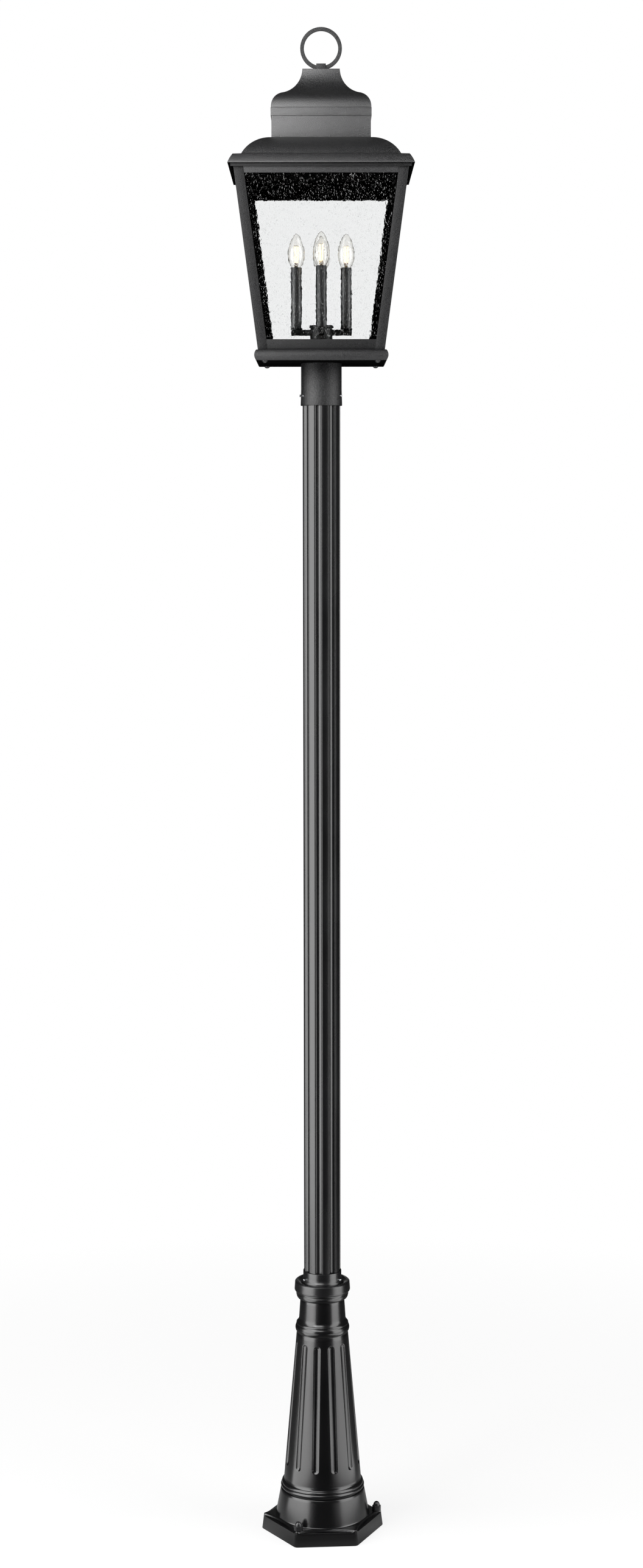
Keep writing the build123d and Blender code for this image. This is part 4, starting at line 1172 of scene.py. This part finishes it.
def plate_mesh():
    """The hexagon plate: drafted sides, rounded edges and a crescent ledge along each side."""
    bottom_flat, top_flat, corner, edge = 112.4, 109.1, 11.0, 1.7
    hollow_flat, hollow_corner = 103.4, 6.5
    straight = math.atan((top_flat - corner) * math.tan(math.pi / 6.0) / top_flat)
    angles = [straight * (2.0 * step / 56.0 - 1.0) for step in range(56)]
    angles += [straight + (math.pi / 3.0 - 2.0 * straight) * step / 10.0 for step in range(10)]
    shell = bmesh.new()
    columns = []
    for side in range(6):
        turn = math.radians(PLATE_TURN + 30.0 + 60.0 * side)
        for angle in angles:
            off_flat = angle if angle <= math.pi / 6.0 else angle - math.pi / 3.0
            reach = hexagon_radius(off_flat, top_flat - edge, corner - edge)
            line = [(PEDESTAL_BORE, PLATE_CEILING)]
            for step in range(49):
                radius = PEDESTAL_BORE + (reach - PEDESTAL_BORE) * step / 48.0
                line.append((radius, plate_level(radius * math.cos(off_flat), radius * math.sin(off_flat))))
            rim = line[-1][1]
            for step in range(1, 7):
                bend = math.radians(84.0) * step / 6.0
                off = edge * math.sin(bend)
                line.append((
                    hexagon_radius(off_flat, top_flat - edge + off, corner - edge + off),
                    rim - edge * (1.0 - math.cos(bend)),
                ))
            line += [
                (hexagon_radius(off_flat, bottom_flat, corner), 0.8),
                (hexagon_radius(off_flat, bottom_flat - 0.7, corner - 0.7), 0.0),
                (hexagon_radius(off_flat, hollow_flat, hollow_corner), 0.0),
                (hexagon_radius(off_flat, hollow_flat, hollow_corner), PLATE_CEILING),
            ]
            turned = turn + angle
            columns.append([
                shell.verts.new((radius * MM * math.cos(turned), radius * MM * math.sin(turned), level * MM))
                for radius, level in line
            ])
    for column, following in zip(columns, columns[1:] + columns[:1]):
        for step in range(len(column)):
            above = (step + 1) % len(column)
            shell.faces.new((column[step], following[step], following[above], column[above]))
    return finished(shell, "plate", 50.0)


class POSTLIGHT_OT_pedestal(bpy.types.Operator):
    """Fluted pedestal on its hexagon plate, with the cap nuts."""

    bl_idname = "post_light.pedestal"
    bl_label = "Pedestal"

    def execute(self, context):
        new_piece("pedestal_plate", plate_mesh(), "post", "post_black", "pedestal_shaded_paint", "base_casting")
        new_piece("pedestal_shaft", shaft_mesh(33.05), "post", "post_black", "pedestal_shaded_paint")
        nuts = softened("anchor_cap_nuts", 0.0005, "post", "nut_black", "nut_black")
        seat, taller = min(vertex.co.z for vertex in nuts.data.vertices), 1.3
        for vertex in nuts.data.vertices:
            vertex.co.z = seat + taller * (vertex.co.z - seat)
        return {"FINISHED"}


# Stage


def light_panel(name, place, target, width, height, radiance, through_glass=True):
    """A soft light panel that faces its target, out of the camera's sight."""
    data = bpy.data.lights.new(name, "AREA")
    data.shape = "RECTANGLE"
    data.size, data.size_y = width, height
    data.energy = radiance * math.pi * width * height
    panel = bpy.data.objects.new(name, data)
    panel.location = place
    panel.rotation_euler = (Vector(target) - Vector(place)).to_track_quat("-Z", "Y").to_euler()
    panel.visible_camera = False
    panel.visible_transmission = through_glass
    bpy.context.scene.collection.objects.link(panel)
    return panel


def round_the_post(azimuth, distance, level):
    """A place round the post, at an angle from its front towards the right."""
    turned = math.radians(azimuth)
    return (distance * math.sin(turned), -distance * math.cos(turned), level)


class POSTLIGHT_OT_stage(bpy.types.Operator):
    """Pale floor, white backdrop, soft lights and the camera."""

    bl_idname = "post_light.stage"
    bl_label = "Stage"

    def execute(self, context):
        scene = context.scene
        self.floor()
        self.world(scene)
        self.panels()
        camera_data = bpy.data.cameras.new("camera")
        camera_data.sensor_fit = "AUTO"
        camera_data.sensor_width = 36.0
        camera_data.lens = FOCAL_PIXELS / PICTURE_HEIGHT * camera_data.sensor_width
        camera_data.dof.use_dof = False
        camera = bpy.data.objects.new("camera", camera_data)
        camera.location = (0.0, -CAMERA_AWAY, CAMERA_LEVEL)
        camera.rotation_euler = (math.radians(90.0 - CAMERA_DROP), math.radians(CAMERA_ROLL), 0.0)
        scene.collection.objects.link(camera)
        scene.camera = camera
        scene.view_settings.view_transform = "Standard"
        return {"FINISHED"}

    def panels(self):
        """A tall panel on each side, a strip at its foot, and a wide one over the camera."""
        middle, tall = 1.75, 3.5
        for name, azimuth, width, radiance in (("left", -60.0, 1.95, 3.7), ("right", 68.0, 1.5, 2.9)):
            panel = round_the_post(azimuth, 2.0, middle)
            light_panel(name + "_panel", panel, (0.0, 0.0, middle), width, tall, radiance)
            strip = round_the_post(azimuth, 1.05, 0.02)
            light_panel(name + "_strip", strip, (strip[0], strip[1], 1.0), 1.1, 1.1, 0.7 * radiance)
        light_panel("front_panel", (-1.15, -2.8, 4.0), (0.0, 0.0, 2.80), 2.7, 2.6, 3.3, False)

    def floor(self):
        """A wide floor: white to the camera, grey round the foot, dim to what mirrors it, and a painted pool
        of light round the foot to bounced rays.
        """
        mesh = bpy.data.meshes.new("floor")
        size = 60.0
        corners = [(-size, -size, 0.0), (size, -size, 0.0), (size, size, 0.0), (-size, size, 0.0)]
        mesh.from_pydata(corners, [], [(0, 1, 2, 3)])
        floor = bpy.data.objects.new("floor", mesh)
        bpy.context.scene.collection.objects.link(floor)
        finish_of_floor, tree = new_material("floor")
        place = add_node(tree, "ShaderNodeSeparateXYZ", {0: object_coordinates(tree)})
        away = add_node(tree, "ShaderNodeVectorMath", {0: object_coordinates(tree)}, operation="LENGTH")
        distance = away.outputs["Value"]
        # Painted light: to bounced rays the floor is paler round the foot and much paler beside and behind
        # it, a painted pool of light that brightens the pedestal's sides.
        bounce = spread_out(tree, distance, (0.2, 0.6), (0.20, 0.04))
        beside = spread_out(tree, place.outputs["Y"], (-0.14, -0.02), (0.7, 3.2))
        plain = add_node(tree, "ShaderNodeBsdfDiffuse", {"Color": calc(tree, "MULTIPLY", bounce, beside)})
        near = spread_out(tree, distance, (0.5, 2.2), (1.0, 0.0))
        grey = add_node(tree, "ShaderNodeMixRGB", {
            "Fac": near, "Color1": (0.0, 0.0, 0.0, 1.0), "Color2": (0.22, 0.22, 0.22, 1.0),
        })
        strength = calc(tree, "MULTIPLY_ADD", near, -0.20, 1.0)
        pale = add_node(tree, "ShaderNodeBsdfDiffuse", {"Color": grey.outputs[0]})
        glow = add_node(tree, "ShaderNodeEmission", {"Color": WHITE, "Strength": strength})
        lit = add_node(tree, "ShaderNodeAddShader", {0: pale.outputs[0], 1: glow.outputs[0]})
        backwards = calc(tree, "DIVIDE", place.outputs["Y"], distance)
        rear = spread_out(tree, backwards, STRAIGHT_BEHIND, (0.0, 1.0))
        mixed = add_node(tree, "ShaderNodeMixShader", {
            0: self.seen(tree, rear), 1: plain.outputs[0], 2: lit.outputs[0],
        })
        surface(tree, mixed.outputs[0])
        mesh.materials.append(finish_of_floor)

    def seen(self, tree, mirrored_share):
        """1 for rays from the camera and straight through glass, and a share for mirrored rays."""
        path = add_node(tree, "ShaderNodeLightPath")
        mirrored = calc(tree, "MULTIPLY", path.outputs["Is Glossy Ray"], mirrored_share)
        unmirrored = calc(tree, "SUBTRACT", 1.0, path.outputs["Glossy Depth"], use_clamp=True)
        through = calc(tree, "MULTIPLY", path.outputs["Is Transmission Ray"], unmirrored)
        straight = calc(tree, "MAXIMUM", path.outputs["Is Camera Ray"], through)
        return calc(tree, "MAXIMUM", straight, mirrored)

    def world(self, scene):
        """A dim room that is white to the camera."""
        world = bpy.data.worlds.new("studio")
        world.use_nodes = True
        scene.world = world
        tree = world.node_tree
        tree.nodes.clear()
        direction = add_node(tree, "ShaderNodeTexCoord").outputs["Generated"]
        behind = add_node(tree, "ShaderNodeSeparateXYZ", {0: direction})
        rear = spread_out(tree, behind.outputs["Y"], STRAIGHT_BEHIND, (0.0, 1.0))
        path = add_node(tree, "ShaderNodeLightPath")
        first = calc(tree, "MINIMUM", path.outputs["Glossy Depth"], 1.0)
        room_level, mirrored_level = 0.12, 0.03
        level = calc(tree, "MULTIPLY_ADD", first, mirrored_level - room_level, room_level)
        room = add_node(tree, "ShaderNodeBackground", {"Color": WHITE, "Strength": level})
        white = add_node(tree, "ShaderNodeBackground", {"Color": WHITE, "Strength": 1.0})
        mixed = add_node(tree, "ShaderNodeMixShader", {
            0: self.seen(tree, rear), 1: room.outputs[0], 2: white.outputs[0],
        })
        add_node(tree, "ShaderNodeOutputWorld", {"Surface": mixed.outputs[0]})


OPERATORS = (
    POSTLIGHT_OT_pedestal, POSTLIGHT_OT_post, POSTLIGHT_OT_pan, POSTLIGHT_OT_candles, POSTLIGHT_OT_bulbs,
    POSTLIGHT_OT_cage, POSTLIGHT_OT_panes, POSTLIGHT_OT_roof, POSTLIGHT_OT_stage,
)


class POSTLIGHT_PT_pieces(bpy.types.Panel):
    """Pieces of the post light, and their sizes and colours."""

    bl_idname = "POSTLIGHT_PT_pieces"
    bl_label = "Post Light"
    bl_space_type = "VIEW_3D"
    bl_region_type = "UI"
    bl_category = "Post Light"

    def draw(self, context):
        for group in (context.scene.post_light_finish, context.scene.post_light_sizes):
            for name in group.bl_rna.properties.keys():
                if name not in {"name", "rna_type"}:
                    self.layout.prop(group, name)
        for operator in OPERATORS:
            self.layout.operator(operator.bl_idname)


CLASSES = (PostLightFinish, PostLightSizes, *OPERATORS, POSTLIGHT_PT_pieces)


def register():
    for kind in CLASSES:
        bpy.utils.register_class(kind)
    bpy.types.Scene.post_light_finish = bpy.props.PointerProperty(type=PostLightFinish)
    bpy.types.Scene.post_light_sizes = bpy.props.PointerProperty(type=PostLightSizes)


def unregister():
    del bpy.types.Scene.post_light_sizes
    del bpy.types.Scene.post_light_finish
    for kind in reversed(CLASSES):
        bpy.utils.unregister_class(kind)


def main():
    """Makes every piece."""
    register()
    for operator in OPERATORS:
        group, name = operator.bl_idname.split(".")
        getattr(getattr(bpy.ops, group), name)()


if __name__ == "__main__":
    main()
